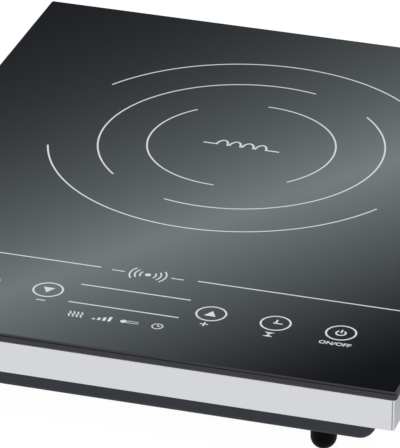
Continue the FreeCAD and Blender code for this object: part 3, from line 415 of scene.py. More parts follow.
def moulded(name, base, roughness, texture, relief, ior=1.5, variation=0.12,
            patch=12 * MM, sheen_level=0.5):
    """A plastic, rubber, resin or pressed powder with a matte face that has no direction.

    Most take their face from a steel tool that spark erosion has left pitted. The bead of
    silicone and the printed solder mask get theirs as they cure. Pits of about 0.05 mm are
    too fine to show, so they are drawn 0.1 to 1.5 mm wide. Patches of 3 to 12 mm vary the
    shade and the gloss, as the flow in a tool does.
    """
    material, tree, shader = new_material(name, {"IOR": ior, "Specular IOR Level": sheen_level})
    patches = grain(tree, patch, detail=2.0)
    pits = grain(tree, texture, detail=2.0)
    wear(tree, shader, shades_of(base, *spread(1, variation)), spread(roughness, 0.08),
         patches, patches, (pits, 0.6, relief))
    return material


def ground_metal(name, base, roughness, line, stretch):
    """A metal that was brushed, stamped, extruded, plated or wiped.

    Fine marks change its gloss and relief, and its shade a little. A stretch that differs
    between the axes draws them out into lines, and an even one leaves them without direction.
    A belt's scratches are about 0.03 mm wide, too fine to show, so they are drawn 0.12 mm
    wide, and merge into an even satin from a step away.
    """
    material, tree, shader = new_material(name, {"Metallic": 1.0})
    lines = grain(tree, line, stretch, detail=4.0)
    wear(tree, shader, shades_of(base, 0.93, 1.06), spread(roughness, 0.15), lines, lines,
         (lines, 0.4, 0.002 * MM))
    return material


def black_glass_ceramic(name, tint, sheen_level=0.5):
    """Black lithium glass-ceramic: a rolled sheet, fire-polished, so it shows a clear but
    slightly soft reflection over a body that is almost black. Smudges a few centimetres
    across soften it here and there."""
    material, tree, shader = new_material(name, {"IOR": 1.53, "Specular IOR Level": sheen_level})
    smudges = grain(tree, 45 * MM)
    wear(tree, shader, shades_of(tint, 0.9, 1.1), (0.03, 0.05), smudges, smudges)
    return material


def ground_glass(name, tint):
    """The pane's ground edge: the wheel leaves the dark glass dull and a little paler, with
    marks along the edge that are drawn 0.25 mm wide and six times as long."""
    material, tree, shader = new_material(name, {"IOR": 1.53})
    marks = grain(tree, 0.25 * MM, (6, 6, 1))
    wear(tree, shader, shades_of(tint, 0.85, 1.15), (0.38, 0.5), marks, marks)
    return material


def ceramic_ink(name, ink):
    """Ceramic ink fired into the glass: opaque, even and slightly matte. Its pinholes are
    too fine to show, so they are drawn as specks of 0.3 mm."""
    material, tree, shader = new_material(name, {"IOR": 1.5})
    specks = grain(tree, 0.3 * MM, detail=2.0)
    wear(tree, shader, shades_of(ink, 0.93, 1.03), (0.4, 0.55), specks, specks)
    return material


def wound_litz(name, middle):
    """Enamelled litz strands wound in a flat spiral: rings of copper, with painted shade
    darkening the gaps between.

    The rings are the cosine of the distance from the coil's middle, one for each pitch of the
    winding, and the strands across them are 0.3 mm thick.
    """
    pitch = 3.2 * MM
    material, tree, shader = new_material(name, {"Metallic": 1.0})
    where = add_node(tree, "ShaderNodeTexCoord")
    centred = add_node(tree, "ShaderNodeMapping",
                       {"Vector": where.outputs["Object"],
                        "Location": (-middle[0], -middle[1], 0), "Scale": (1, 1, 0)})
    radius = add_node(tree, "ShaderNodeVectorMath", {0: centred.outputs["Vector"]},
                      operation="LENGTH")
    turns = add_node(tree, "ShaderNodeMath",
                     {0: radius.outputs["Value"], 1: 2 * math.pi / pitch}, operation="MULTIPLY")
    wave = add_node(tree, "ShaderNodeMath", {0: turns.outputs["Value"]}, operation="COSINE")
    rings = add_node(tree, "ShaderNodeMapRange",
                     {"Value": wave.outputs["Value"], "From Min": -1.0, "From Max": 1.0})
    height = rings.outputs["Result"]
    strands = grain(tree, 0.3 * MM)
    # painted shade: the rings darken the copper towards the gaps between the turns, over the
    # strands' own grain
    lit = add_node(tree, "ShaderNodeMath", {0: height, 1: strands}, operation="MULTIPLY")
    wear(tree, shader, (linear("#3B1E12"), linear("#C07A4C")), (0.3, 0.45),
         lit.outputs["Value"], strands, (height, 0.8, 0.5 * MM))
    return material


def make_finishes(settings):
    """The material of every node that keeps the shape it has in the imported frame."""
    # ABS from a spark-eroded tool: an even dark satin, with its shine cut almost away as painted
    # shade for the shaded paper it would mirror, and its colour set lighter than it renders, as
    # painted light for the dim bounce off the paper
    pan = moulded("moulded_black_abs", tuple(settings.polymer), 0.5, 0.35 * MM, 0.02 * MM,
                  sheen_level=0.02)
    # PBT with glass fibre, from a smoother tool: black with soft highlights on the blades
    fan = moulded("moulded_black_pbt", linear("#1D1D1F"), 0.35, 0.3 * MM, 0.015 * MM)
    # chloroprene rubber, pressed in a hot tool: dull black
    rubber = moulded("moulded_chloroprene", linear("#101012"), 0.62, 0.4 * MM, 0.03 * MM,
                     ior=1.52)
    # silicone laid as a bead and left to cure: black with a soft, wavy skin
    bead = moulded("cured_black_silicone", linear("#0E0E0F"), 0.5, 0.8 * MM, 0.02 * MM, ior=1.41)
    # silicone rubber, moulded: pale grey and dull
    pad = moulded("moulded_grey_silicone", linear("#A8A8A2"), 0.6, 0.5 * MM, 0.02 * MM, ior=1.41)
    # polyamide with glass fibre, moulded: off-white, faintly rough where fibres reach the face
    nylon = moulded("moulded_glass_polyamide", linear("#DEDBD2"), 0.45, 0.6 * MM, 0.02 * MM,
                    ior=1.53)
    # mica flakes pressed with resin: pale straw, in patches of 5 mm that shine differently
    mica = moulded("pressed_mica", linear("#CFC6A8"), 0.35, 1.5 * MM, 0.03 * MM, ior=1.58,
                   variation=0.25, patch=5 * MM)
    # ferrite powder, pressed and sintered: dark grey, dense and a little glassy
    sintered = moulded("sintered_ferrite", linear("#3C3C40"), 0.5, 0.15 * MM, 0.02 * MM, ior=2.2)
    # glass-epoxy laminate under printed solder mask: glossy green, clouded over the tracks
    mask = moulded("solder_masked_laminate", linear("#1E6B3E"), 0.3, 0.5 * MM, 0.01 * MM,
                   ior=1.55, variation=0.2, patch=3 * MM)
    # epoxy, moulded round a chip: black with a fine, even grain
    epoxy = moulded("moulded_black_epoxy", linear("#1A1A1C"), 0.4, 0.1 * MM, 0.01 * MM, ior=1.55)
    # PBT capacitor case, moulded: mustard yellow with a soft shine
    case = moulded("moulded_yellow_pbt", linear("#B98A2E"), 0.35, 0.4 * MM, 0.01 * MM)
    # silicon steel, stamped and stacked: grey layers of 0.35 mm that lie flat
    laminations = ground_metal("stamped_silicon_steel", linear("#8C8C90"), 0.45, 0.35 * MM,
                               (30, 30, 1))
    # steel with bright nickel: pale grey with a clear sheen and no direction
    plated = ground_metal("nickel_plated_steel", linear("#B9BABC"), 0.3, 0.2 * MM, (4, 4, 4))
    # aluminium, pushed through a die: lines along the length of the fins
    extruded = ground_metal("extruded_aluminium", linear("#D2D3D6"), 0.38, 0.12 * MM, (40, 1, 1))
    # stainless steel, belt-brushed along the band: an even, soft satin
    brushed = ground_metal("brushed_stainless", tuple(settings.steel), 0.32, 0.12 * MM,
                           (60, 60, 1))
    low, high = (Vector(corner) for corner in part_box("coil_winding"))
    litz = wound_litz("enamelled_litz", (low + high) / 2)
    return {
        "steel_frame": brushed, "base_pan": pan, "inlet_grille": pan, "cord_gland": rubber,
        "silicone_seal": bead, "fan_frame": fan, "fan_rotor": fan, "fan_stator": laminations,
        "coil_carrier": nylon, "coil_winding": litz, "coil_buffers": pad, "mica_sheet": mica,
        "sensor_holder": pad, "temperature_sensor": plated, "power_board": mask,
        "control_board": mask, "control_tray": fan, "terminal_block": nylon,
        "display_module": epoxy, "power_transistor": epoxy, "bridge_rectifier": epoxy,
        "mains_fuse": plated, "resonance_capacitor": case, "smoothing_capacitor": case,
        "interference_capacitor": case, "choke_coil": litz, "switching_transformer": sintered,
        "heat_sink": extruded, "ferrite_bar": sintered, "touch_contact": plated,
    }


# ---- Pieces ------------------------------------------------------
def glass_top():
    """Height of the pane's face, which the ink brings up to the full height of the hob."""
    return GLASS_HIGH.z - bpy.context.scene.hob_print.thickness


class HobPane(bpy.types.Operator):
    """Makes the glass pane with its ground, bevelled edge"""
    bl_idname = "hob.pane"
    bl_label = "Glass pane"

    def execute(self, context):
        settings = context.scene.hob_pane
        middle = (GLASS_LOW + GLASS_HIGH) / 2
        half = (GLASS_HIGH - GLASS_LOW) / 2
        path, outward = rounded_rectangle(half.x, half.y, settings.corner, 12)
        path = path + np.array([middle.x, middle.y])
        top, bevel, arris, easing = (glass_top(), settings.bevel, settings.arris,
                                     settings.easing)
        underside, edge_low = (easing, GLASS_LOW.z), (0, GLASS_LOW.z + easing)
        edge_high, face_rim = (0, top - bevel), (bevel, top)
        # this row keeps the bevel's shading off the face, and still lies outside the middle
        # of each rounded corner
        inside = ((bevel + settings.corner) / 2, top)
        profile = np.concatenate([
            [underside, edge_low],
            eased_corner(edge_low, edge_high, face_rim, arris),
            eased_corner(edge_high, face_rim, inside, arris),
            [inside]])
        rows = round_the_rim(path, outward, profile)
        # the edge and the bevel are ground, and the arris between them gets a weakened
        # reflection that draws it as a dark line, a painted shade. The rest, with the caps for
        # the underside and the face, is polished
        polished, ground, dark_arris = 0, 1, 2
        finish_of_row = np.full(len(profile) - 1, ground)
        finish_of_row[2:5] = dark_arris
        finish_of_row[-1] = polished
        put_piece("glass_pane", capped(rows),
                  [black_glass_ceramic("fire_polished_glass_ceramic", tuple(settings.tint)),
                   ground_glass("ground_glass_ceramic", tuple(settings.edge_tint)),
                   # painted shade: the arris's reflection is cut so that it renders as a dark
                   # line
                   black_glass_ceramic("painted_dark_arris_glass", tuple(settings.tint), 0.15)],
                  "housing", ["glass_ceramic_plate"],
                  [*np.repeat(finish_of_row, rows.shape[1]).tolist(), polished, polished])
        return {"FINISHED"}


# places on the print are in millimetres from its middle, which lies this far right of the
# pane's middle: the middle of the zone, the touch glyph, the rows of keys, of the signs below
# them and of the icons, and where each key and icon stands along its row
PRINT_SHIFT = 1.5
ZONE = (0.0, 46.8)
GLYPH = (-0.9, -108.2)
KEY_ROW = -138.4
SIGN_ROW = KEY_ROW - 11.4
ICON_ROW = -159.0
KEYS = {"mode": -75.5, "down": -42.5, "up": 41.0, "timer": 73.6, "power": 106.5}
ICONS = {"warmth": -21.5, "level": -7.9, "temperature": 6.1, "time": 20.1}


class Print:
    """Marks of fired ink, from one thickness below the pane's face to the full height of the
    hob. Strokes of one mark meet edge to edge, because faces that share a level and a place
    would show as specks."""

    def __init__(self, settings):
        self.low, self.high = glass_top() - settings.thickness, GLASS_HIGH.z

    def placed(self, points):
        """Points of the print as points on the pane, in metres."""
        return (np.asarray(points, float) + np.array([PRINT_SHIFT, 0])) * MM

    def path(self, points, width=0.8, closed=False):
        """A line of ink of one width along the points."""
        return stroke(self.placed(points), width * MM, self.low, self.high, closed)

    def solid(self, outline):
        """A patch of ink that fills the outline."""
        return filled(self.placed(outline), self.low, self.high)


class HobZonePrint(bpy.types.Operator):
    """Prints the broken rings of the cooking zone and the coil symbol in their middle"""
    bl_idname = "hob.zone_print"
    bl_label = "Zone print"

    def execute(self, context):
        settings = context.scene.hob_print
        marks, ink = Print(settings), ceramic_ink("fired_zone_ink", tuple(settings.ink))
        inner, middle, outer = (radius / MM for radius in (
            settings.ring_inner, settings.ring_middle, settings.ring_outer))
        # each radius, with the degrees between which a part of its ring runs
        arcs = [(outer, 0, 150), (outer, 197.5, 330), (middle, 75, 225), (middle, -105, 45),
                (inner, 135, 270), (inner, -45, 90)]
        rings = [marks.path(arc(ZONE, radius, start, stop, step=1.5), settings.stroke / MM)
                 for radius, start, stop in arcs]
        put_piece("zone_rings", joined(rings), [ink], "housing")
        width = 1.1
        symbol = [marks.path(path, width) for path in self.coil(width)]
        put_piece("coil_symbol", joined(symbol), [ink], "housing")
        return {"FINISHED"}

    def coil(self, width):
        """Four windings side by side, each a half ellipse that is taller than it is wide, and
        a straight lead at both ends."""
        x, y = ZONE[0] + 0.5, ZONE[1] - 2.5
        radius, tallness, lead = 2.9, 1.9, 6.5
        pitch = 2 * radius + width
        turn = np.linspace(math.pi, 0, 17)
        windings = [np.stack([x + pitch * place + radius * np.cos(turn),
                              y + tallness * radius * np.sin(turn)], axis=1)
                    for place in (-1.5, -0.5, 0.5, 1.5)]
        leads = [[(x + side * 2 * pitch, y + width / 2),
                  (x + side * (2 * pitch + lead), y + width / 2)] for side in (-1, 1)]
        return windings + leads


class HobKeyPrint(bpy.types.Operator):
    """Prints the lines, key circles and symbols along the front of the pane"""
    bl_idname = "hob.key_print"
    bl_label = "Key print"

    def execute(self, context):
        settings = context.scene.hob_print
        marks, ink = Print(settings), ceramic_ink("fired_key_ink", tuple(settings.ink))
        groups = {"divider_lines": self.dividers(marks, settings.stroke / MM),
                  "key_circles": self.circles(marks, settings.key_radius / MM),
                  "key_symbols": self.symbols(marks),
                  "function_icons": self.icons(marks),
                  "touch_glyph": self.touch_glyph(marks),
                  "switch_words": [self.switch_words(marks)]}
        for name, forms in groups.items():
            put_piece(name, joined(forms), [ink], "housing")
        return {"FINISHED"}

    def dividers(self, marks, width):
        """A line on both sides of the glyph, and the lines above and below the display, each
        from a start to a stop along x at its own y."""
        spans = [(-136.2, -25.3, -107.3), (24.5, 137.0, -107.3), (-29.0, 27.2, -127.8),
                 (-29.0, 27.2, -147.2)]
        return [marks.path([(start, y), (stop, y)], width) for start, stop, y in spans]

    def circles(self, marks, radius):
        """A circle round each key."""
        width = 0.95
        return [marks.path(circle((x, KEY_ROW), radius), width, closed=True)
                for x in KEYS.values()]

    def symbols(self, marks):
        """Level bars, down, up, a clock and the power sign, each inside its circle, and the
        signs minus and plus below down and up."""
        mode, down, up, timer, power = KEYS.values()
        y = KEY_ROW
        bars = [marks.path([(mode - 2.6, y + lift), (mode + 2.6, y + lift)], 0.7)
                for lift in (-2, 0, 2)]
        arrows = [marks.solid([(down - 2.95, y + 2.5), (down, y - 2.9), (down + 2.95, y + 2.5)]),
                  marks.solid([(up - 2.95, y - 2.5), (up + 2.95, y - 2.5), (up, y + 2.9)])]
        hands = [marks.path([(timer, y + 0.45), (timer, y + 3.6)], 1.0),
                 marks.path([(timer - 1.3, y), (timer + 3.5, y)], 0.9)]
        sign = [marks.path(arc((power, y - 0.2), 2.35, 125, 415, step=10), 0.9),
                marks.path([(power, y), (power, y + 3.3)], 0.9)]
        below = [marks.path([(down - 2.3, SIGN_ROW), (down + 2.3, SIGN_ROW)]),
                 marks.path([(up - 2.3, SIGN_ROW), (up + 1.9, SIGN_ROW)]),
                 marks.path([(up - 0.2, SIGN_ROW - 2.1), (up - 0.2, SIGN_ROW - 0.4)]),
                 marks.path([(up - 0.2, SIGN_ROW + 0.4), (up - 0.2, SIGN_ROW + 2.1)])]
        return bars + arrows + hands + sign + below

    def icons(self, marks):
        """Warmth, level, temperature and time below the display, and time below its key."""
        y = ICON_ROW
        warmth, level, temperature, time = ICONS.values()
        wave = np.linspace(-2.7, 2.7, 17)
        waves = [marks.path(np.stack([warmth + side + 0.4 * np.sin(wave * 2.3), y + wave],
                                     axis=1), 0.7) for side in (-3.0, -1.0, 1.0, 3.0)]
        bars = [marks.solid([(level + side - 0.75, y - 2.4), (level + side + 0.75, y - 2.4),
                             (level + side + 0.75, y + top), (level + side - 0.75, y + top)])
                for side, top in ((-3.9, -1.2), (-1.3, 0), (1.3, 1.2), (3.9, 2.4))]
        bulb = [marks.solid(circle((temperature - 3.2, y), 1.6, 24)),
                marks.path([(temperature - 1.75, y + 0.9), (temperature + 4.2, y + 0.9),
                            (temperature + 4.2, y - 0.9), (temperature - 1.75, y - 0.9)], 0.5)]
        clock = [marks.path(circle((time, y), 2.6, 32), 0.65, closed=True),
                 marks.path([(time, y + 1.7), (time, y), (time + 1.5, y)], 0.65)]
        x, y = KEYS["timer"], SIGN_ROW - 0.7
        glass = [marks.solid([(x - 1.7, y + 1.7), (x, y), (x + 1.7, y + 1.7)]),
                 marks.solid([(x - 1.7, y - 1.7), (x + 1.7, y - 1.7), (x, y)]),
                 marks.path([(x - 2.3, y + 2.0), (x + 2.3, y + 2.0)], 0.5),
                 marks.path([(x - 2.3, y - 2.0), (x + 2.3, y - 2.0)], 0.5)]
        return waves + bars + bulb + clock + glass

    def touch_glyph(self, marks):
        """A dot with arcs to both sides, like sound, and a short line beyond them."""
        x, y = GLYPH
        arcs = [marks.path(arc((x, y), radius, side - 38, side + 38, step=8))
                for side in (0, 180) for radius in (4.0, 6.6, 9.2)]
        ends = [marks.path([(x + side * 12, y), (x + side * 18.5, y)]) for side in (-1, 1)]
        return [marks.solid(circle((x, y), 1.5, 24)), *arcs, *ends]

    def switch_words(self, marks):
        """The words ON and OFF below the power key, as flat letters given a thickness."""
        curve = bpy.data.curves.new("switch_words", "FONT")
        curve.body = "ON/OFF"
        curve.align_x, curve.align_y = "CENTER", "CENTER"
        curve.size, curve.offset = 4.45 * MM, 0.09 * MM
        curve.extrude = (marks.high - marks.low) / 2
        letters = bpy.data.objects.new("switch_words_curve", curve)
        mesh = bpy.data.meshes.new_from_object(letters)
        work = bmesh.new()
        work.from_mesh(mesh)
        bmesh.ops.remove_doubles(work, verts=work.verts, dist=0.002 * MM)
        work.to_mesh(mesh)
        work.free()
        points = np.empty(3 * len(mesh.vertices))
        mesh.vertices.foreach_get("co", points)
        points = points.reshape(-1, 3)
        corners = np.empty(len(mesh.loops), dtype=np.int32)
        mesh.loops.foreach_get("vertex_index", corners)
        starts = np.empty(len(mesh.polygons), dtype=np.int32)
        mesh.polygons.foreach_get("loop_start", starts)
        faces = [tuple(face) for face in np.split(corners, starts[1:])]
        bpy.data.objects.remove(letters)
        bpy.data.meshes.remove(mesh)
        middle = marks.placed((KEYS["power"] + 0.2, SIGN_ROW - 0.4))
        return points + np.array([*middle, (marks.high + marks.low) / 2]), faces


class HobFeet(bpy.types.Operator):
    """Makes the four rubber feet, each a ball end with a small flat below a round post"""
    bl_idname = "hob.feet"
    bl_label = "Rubber feet"

    def execute(self, context):
        settings = context.scene.hob_feet
        radius, flat = settings.radius, settings.flat
        middle_height = math.sqrt(radius ** 2 - flat ** 2)
        turn = np.linspace(-math.acos(flat / radius), 0, 14)
        ball = np.stack([radius * np.cos(turn), middle_height + radius * np.sin(turn)], axis=1)
        profile = np.concatenate([ball, [[radius, FEET_HIGH.z]]])
        places = [(x, y) for x in (FEET_LOW.x + radius, FEET_HIGH.x - radius)
                  for y in (FEET_LOW.y + radius, FEET_HIGH.y - radius)]
        feet = [capped(turned(profile, 48, middle)) for middle in places]
        # nitrile rubber, pressed in a hot tool: deep black and dull, with its shine cut further
        # as painted shade for the shaded paper that the feet would mirror
        rubber = moulded("moulded_nitrile_rubber", tuple(settings.rubber), 0.5, 0.5 * MM,
                         0.03 * MM, ior=1.52, sheen_level=0.04)
        put_piece("rubber_feet_moulded", joined(feet), [rubber], "housing",
                  ["rubber_feet"])
        return {"FINISHED"}


# the screws stand over the holes in the band's return, this far from the middle
SCREW_PLACE = (141.2 * MM, 120 * MM)
SHANK_LENGTH = 0.8 * MM
# shares of the head: how far the recess's arms reach, how wide the recess's floor is against
# its mouth and how high it lies, how wide the dome's top is, and how wide the shank is
ARM_REACH, FLOOR_WIDTH, FLOOR_HEIGHT, DOME_TOP, SHANK_WIDTH = 0.52, 0.7, 0.35, 0.6, 0.47


class HobScrews(bpy.types.Operator):
    """Makes the cross-recessed screws under the rim of the band"""
    bl_idname = "hob.screws"
    bl_label = "Rim screws"

    def execute(self, context):
        settings = context.scene.hob_screws
        across, along = SCREW_PLACE
        screws = [self.screw(settings, (x, y), BAND_LOW.z)
                  for x in (-across, across) for y in (-along, along)]
        # steel, cold-headed and zinc-plated: bright, with a soft sheen and no direction
        steel = ground_metal("zinc_plated_steel", tuple(settings.plating), 0.28, 0.2 * MM,
                             (3, 3, 3))
        put_piece("rim_screws", joined(screws), [steel], "housing")
        return {"FINISHED"}

    def screw(self, settings, middle, seat):
        """A pan head with a cross recess: rows from the recess floor out to the shank.

        The cross is r = min(arm / cos t, half_width / sin t), with t the angle from its
        nearest arm. The dome's radius and height are the cosine and the sine of an angle that
        falls from 60 degrees to nought.
        """
        radius, depth = settings.head_radius, settings.head_height
        half_width, arm = settings.recess / 2, ARM_REACH * radius
        corner = math.atan2(half_width, arm)
        eighth = np.radians([-45, -33, -22])
        quarter = np.concatenate([eighth, [-corner, 0, corner], -eighth[:0:-1]])
        turn = (quarter[None, :] + np.arange(4)[:, None] * math.pi / 2).reshape(-1)
        t = np.abs(np.tile(quarter, 4))
        cross = np.minimum(arm / np.cos(t), half_width / np.maximum(np.sin(t), 1e-6))
        dome = np.linspace(math.radians(60), 0, 6)
        rows = [(FLOOR_WIDTH * cross, seat - FLOOR_HEIGHT * depth), (cross, seat - depth)]
        rows += [(radius * max(math.cos(a), DOME_TOP),
                  seat - depth * math.sin(a) / math.sin(dome[0])) for a in dome]
        rows += [(SHANK_WIDTH * radius, seat), (SHANK_WIDTH * radius, seat + SHANK_LENGTH)]
        grid = np.stack([np.stack([middle[0] + r * np.cos(turn), middle[1] + r * np.sin(turn),
                                   np.full_like(turn, z)], axis=1) for r, z in rows])
        return capped(grid)


class HobSeams(bpy.types.Operator):
    """Makes the solder that closes the corner seams of the band, darkened as their painted shade
    """
    bl_idname = "hob.seams"
    bl_label = "Corner seams"

    def execute(self, context):
        settings = context.scene.hob_seams
        low, high = BAND_LOW.z + settings.bend, BAND_HIGH.z - settings.bend
        across = [-settings.sheet - settings.width, -settings.sheet]
        deep = [-settings.sheet, -settings.recess]
        # each bead is a bar between the folds, from the back of one sheet up to the recess
        # and from that sheet's edge across the seam to the other sheet
        beads = []
        for side, half_x in ((-1, -BAND_LOW.x), (1, BAND_HIGH.x)):
            for end, half_y in ((-1, -BAND_LOW.y), (1, BAND_HIGH.y)):
                outline = [(side * (half_x + across[i]), end * (half_y + deep[j]))
                           for i, j in ((0, 0), (1, 0), (1, 1), (0, 1))]
                beads.append(filled(np.array(outline), low, high))
        # tin solder, wiped flat: duller than the steel beside it, and darker as painted shade in
        # the seam
        solder_shade = ground_metal("painted_shade_solder", tuple(settings.solder_shade), 0.4, 0.2 * MM, (4, 4, 4))
        put_piece("corner_seams", joined(beads), [solder_shade], "housing")
        return {"FINISHED"}


class HobFinishes(bpy.types.Operator):
    """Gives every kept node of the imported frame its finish"""
    bl_idname = "hob.finishes"
    bl_label = "Finishes"

    def execute(self, context):
        finishes = make_finishes(context.scene.hob_finish)
        replaced = {"glass_ceramic_plate", "rubber_feet"}
        for node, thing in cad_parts.items():
            if node in replaced:
                continue
            # numbered nodes, such as the ferrite bars, share one finish
            family = node.rstrip("0123456789").rstrip("_")
            finish = finishes.get(node) or finishes[family]
            for slot in thing.material_slots:
                slot.material = finish
        return {"FINISHED"}


# ---- Stage -------------------------------------------------------
# sizes and places on the stage, in metres
PAPER_HALF = 6.0
SOFT_CARD_HALF = 0.5
SIDE_CARD_HALF, SIDE_CARD_PLACE = (0.17, 0.3), (0.335, 0.1, 0.002)
LAMP_SIZE, LAMP_PLACE, LAMP_POWER = (1.4, 1.0), (-0.9, -0.6, 1.6), 14
# the soft card's brightest line: its rise across the card and its height in the middle
LINE_SLOPE, LINE_HEIGHT = 0.333, -0.0011
# how far the glow reaches above and below that line, and how fast it falls there
FADES = ((0.438, 6.1), (-0.15, 1.6))
CARD_TINT, CARD_LEVEL = (0.90, 1.03, 1.07, 1), 0.04
SIDE_CARD_TINT = (0.5, 0.51, 0.53, 1)
# the camera's sensor in millimetres, and what it sees between in metres
SENSOR_WIDTH, CLIP = 36, (0.1, 20)
# levels of light, with 1 for white: the sky as a lamp and as it is seen, the paper as other
# things see it, and the shaded and the unshaded part of the paper as the camera sees it
SKY_LIGHT, SKY_SEEN = 0.75, 1.0
PAPER_BOUNCE, PAPER_SHADED, PAPER_PLAIN = 0.5, 0.08, 0.975


def grey(level):
    """A neutral colour of one level."""
    return level, level, level, 1


def plane(name, half_x, half_y, finish):
    """A flat sheet as a stage object, with its places in metres as its UV map."""
    corners = np.array([(-half_x, -half_y), (half_x, -half_y), (half_x, half_y),
                        (-half_x, half_y)])
    mesh = bpy.data.meshes.new(name)
    mesh.from_pydata(np.column_stack([corners, np.zeros(4)]).tolist(), [], [(0, 1, 2, 3)])
    mesh.uv_layers.new(name="metres")
    mesh.uv_layers[0].data.foreach_set("uv", corners.ravel())
    mesh.materials.append(finish)
    sheet = in_scene(name, mesh)
    return sheet


def stand(thing, spot, across, rising, facing):
    """Puts a stage object at a spot, with its own three axes along these directions."""
    turn = Matrix((across, rising, facing)).transposed()
    thing.matrix_world = Matrix.Translation(spot) @ turn.to_4x4()


def seen_directly(tree):
    """One for rays from the camera, off a mirror or through glass, and nought for others."""
    path = add_node(tree, "ShaderNodeLightPath")
    first = add_node(tree, "ShaderNodeMath",
                     {0: path.outputs["Is Camera Ray"], 1: path.outputs["Is Glossy Ray"]},
                     operation="MAXIMUM")
    both = add_node(tree, "ShaderNodeMath",
                    {0: first.outputs["Value"], 1: path.outputs["Is Transmission Ray"]},
                    operation="MAXIMUM")
    return both.outputs["Value"]


def floor_finish(name):
    """White paper: seen directly it is lit white with a faint shadow, for other rays it is
    a mid-grey diffuser, and from below it is clear."""
    material, tree = empty_material(name)
    shade = add_node(tree, "ShaderNodeBsdfDiffuse", {"Color": grey(PAPER_SHADED)})
    glow = add_node(tree, "ShaderNodeEmission", {"Color": grey(1), "Strength": PAPER_PLAIN})
    seen = add_node(tree, "ShaderNodeAddShader",
                    {0: shade.outputs["BSDF"], 1: glow.outputs["Emission"]})
    unseen = add_node(tree, "ShaderNodeBsdfDiffuse", {"Color": grey(PAPER_BOUNCE)})
    mixed = add_node(tree, "ShaderNodeMixShader",
                     {0: seen_directly(tree), 1: unseen.outputs["BSDF"],
                      2: seen.outputs["Shader"]})
    side = add_node(tree, "ShaderNodeNewGeometry")
    clear = add_node(tree, "ShaderNodeBsdfTransparent")
    one_sided = add_node(tree, "ShaderNodeMixShader",
                         {0: side.outputs["Backfacing"], 1: mixed.outputs["Shader"],
                          2: clear.outputs["BSDF"]})
    add_node(tree, "ShaderNodeOutputMaterial", {"Surface": one_sided.outputs["Shader"]})
    return material


def card_finish(name, peak):
    """A soft card whose glow fades to both sides of its brightest line.

    The line runs straight across the card at a slope. With d the height above it, and a
    reach and a power for each side, a side's fade is (1 - d / reach) ** power, held between
    nought and one. The glow is the peak times both fades, over an even level.
    """
    material, tree = empty_material(name)
    where = add_node(tree, "ShaderNodeTexCoord")
    height = add_node(tree, "ShaderNodeVectorMath",
                      {0: where.outputs["UV"], 1: (-LINE_SLOPE, 1, 0)}, operation="DOT_PRODUCT")
    fades = []
    for reach, power in FADES:
        left = add_node(tree, "ShaderNodeMapRange",
                        {"Value": height.outputs["Value"], "From Min": LINE_HEIGHT,
                         "From Max": LINE_HEIGHT + reach, "To Min": 1.0, "To Max": 0.0})
        fade = add_node(tree, "ShaderNodeMath", {0: left.outputs["Result"], 1: power},
                        operation="POWER")
        fades.append(fade.outputs["Value"])
    both = add_node(tree, "ShaderNodeMath", dict(enumerate(fades)), operation="MULTIPLY")
    glow = add_node(tree, "ShaderNodeMath", {0: both.outputs["Value"], 1: peak, 2: CARD_LEVEL},
                    operation="MULTIPLY_ADD")
    light = add_node(tree, "ShaderNodeEmission",
                     {"Color": CARD_TINT, "Strength": glow.outputs["Value"]})
    add_node(tree, "ShaderNodeOutputMaterial", {"Surface": light.outputs["Emission"]})
    return material


def grey_card(name, tint):
    """A card that glows evenly, for the edge that the soft card doesn't reach."""
    material, tree = empty_material(name)
    light = add_node(tree, "ShaderNodeEmission", {"Color": tint})
    add_node(tree, "ShaderNodeOutputMaterial", {"Surface": light.outputs["Emission"]})
    return material


def only_in_mirrors(sheet):
    """The sheet shows in reflections and nowhere else."""
    for ray in ("camera", "diffuse", "shadow", "transmission"):
        setattr(sheet, "visible_" + ray, False)


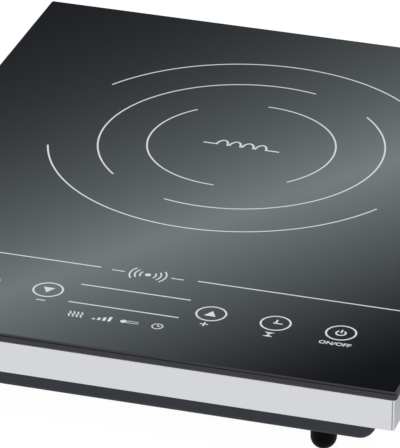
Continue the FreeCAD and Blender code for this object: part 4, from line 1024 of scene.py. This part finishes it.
class HobStage(bpy.types.Operator):
    """Sets the floor, cards, lamp, world and camera"""
    bl_idname = "hob.stage"
    bl_label = "Stage"

    def execute(self, context):
        settings = context.scene.hob_stage
        context.scene.view_settings.view_transform = "Standard"
        self.floor()
        self.world(context.scene)
        self.lamp()
        right, up, back = self.directions(settings)
        self.cards(settings, right, up, back)
        self.camera(context.scene, settings, right, up, back)
        return {"FINISHED"}

    def directions(self, settings):
        """The camera's right, up and backward directions from its three angles."""
        azimuth, elevation, roll = settings.azimuth, settings.elevation, settings.roll
        back = Vector((math.sin(azimuth) * math.cos(elevation),
                       -math.cos(azimuth) * math.cos(elevation), math.sin(elevation)))
        level = Vector((math.cos(azimuth), math.sin(azimuth), 0))
        upright = back.cross(level)
        right = level * math.cos(roll) + upright * math.sin(roll)
        up = upright * math.cos(roll) - level * math.sin(roll)
        return right, up, back

    def floor(self):
        paper = plane("floor_paper", PAPER_HALF, PAPER_HALF, floor_finish("white_paper"))
        paper.location.z = CAD_BOX[0][2]

    def world(self, scene):
        """An even sky that is white where it is seen and less bright as a lamp."""
        world = bpy.data.worlds.new("white_studio")
        world.use_nodes = True
        tree = world.node_tree
        tree.nodes.clear()
        strength = add_node(tree, "ShaderNodeMapRange",
                            {"Value": seen_directly(tree), "To Min": SKY_LIGHT,
                             "To Max": SKY_SEEN})
        sky = add_node(tree, "ShaderNodeBackground",
                       {"Color": grey(1), "Strength": strength.outputs["Result"]})
        add_node(tree, "ShaderNodeOutputWorld", {"Surface": sky.outputs["Background"]})
        scene.world = world

    def lamp(self):
        data = bpy.data.lights.new("soft_box", "AREA")
        data.shape = "RECTANGLE"
        data.size, data.size_y = LAMP_SIZE
        data.energy = LAMP_POWER
        soft_box = in_scene("soft_box", data)
        soft_box.location = LAMP_PLACE
        soft_box.rotation_euler = Vector(LAMP_PLACE).to_track_quat("Z", "Y").to_euler()
        soft_box.visible_glossy = False

    def cards(self, settings, right, up, back):
        """The soft card stands where the pane mirrors it to the camera, so its axes are the
        camera's own, mirrored in the pane."""
        mirror = Matrix.Diagonal((1, 1, -1))
        across, rising, away = mirror @ right, mirror @ up, mirror @ -back
        card = plane("soft_card", SOFT_CARD_HALF, SOFT_CARD_HALF,
                     card_finish("fading_card", settings.card_glow))
        stand(card, Vector(settings.target) + away * settings.card_distance,
              across, rising, across.cross(rising))
        side = plane("grey_side_card", *SIDE_CARD_HALF, grey_card("grey_card", SIDE_CARD_TINT))
        side.location = SIDE_CARD_PLACE
        for sheet in (card, side):
            only_in_mirrors(sheet)

    def camera(self, scene, settings, right, up, back):
        data = bpy.data.cameras.new("camera")
        data.lens, data.sensor_width = settings.lens, SENSOR_WIDTH
        data.clip_start, data.clip_end = CLIP
        camera = in_scene("camera", data)
        stand(camera, Vector(settings.target) + back * settings.distance, right, up, back)
        scene.camera = camera


# ---- Add-on ------------------------------------------------------
SETTINGS = {"hob_pane": HobPaneSettings, "hob_print": HobPrintSettings,
            "hob_feet": HobFeetSettings, "hob_screws": HobScrewSettings,
            "hob_seams": HobSeamSettings, "hob_finish": HobFinishSettings,
            "hob_stage": HobStageSettings}
OPERATORS = (HobPane, HobZonePrint, HobKeyPrint, HobFeet, HobScrews, HobSeams, HobFinishes,
             HobStage)


class HobPanel(bpy.types.Panel):
    """Lists the pieces and their settings"""
    bl_idname = "VIEW3D_PT_hob"
    bl_label = "Hob"
    bl_space_type = "VIEW_3D"
    bl_region_type = "UI"
    bl_category = "Hob"

    def draw(self, context):
        for operator in OPERATORS:
            self.layout.operator(operator.bl_idname)
        for name, kind in SETTINGS.items():
            box = self.layout.box()
            for setting in kind.__annotations__:
                box.prop(getattr(context.scene, name), setting)


def register():
    for kind in (*SETTINGS.values(), *OPERATORS, HobPanel):
        bpy.utils.register_class(kind)
    for name, kind in SETTINGS.items():
        setattr(bpy.types.Scene, name, bpy.props.PointerProperty(type=kind))


def unregister():
    for name in SETTINGS:
        delattr(bpy.types.Scene, name)
    for kind in (HobPanel, *reversed(OPERATORS), *reversed(SETTINGS.values())):
        bpy.utils.unregister_class(kind)


def main():
    """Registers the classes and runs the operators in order."""
    register()
    for operator in OPERATORS:
        group, name = operator.bl_idname.split(".")
        getattr(getattr(bpy.ops, group), name)()


if __name__ == "__main__":
    main()
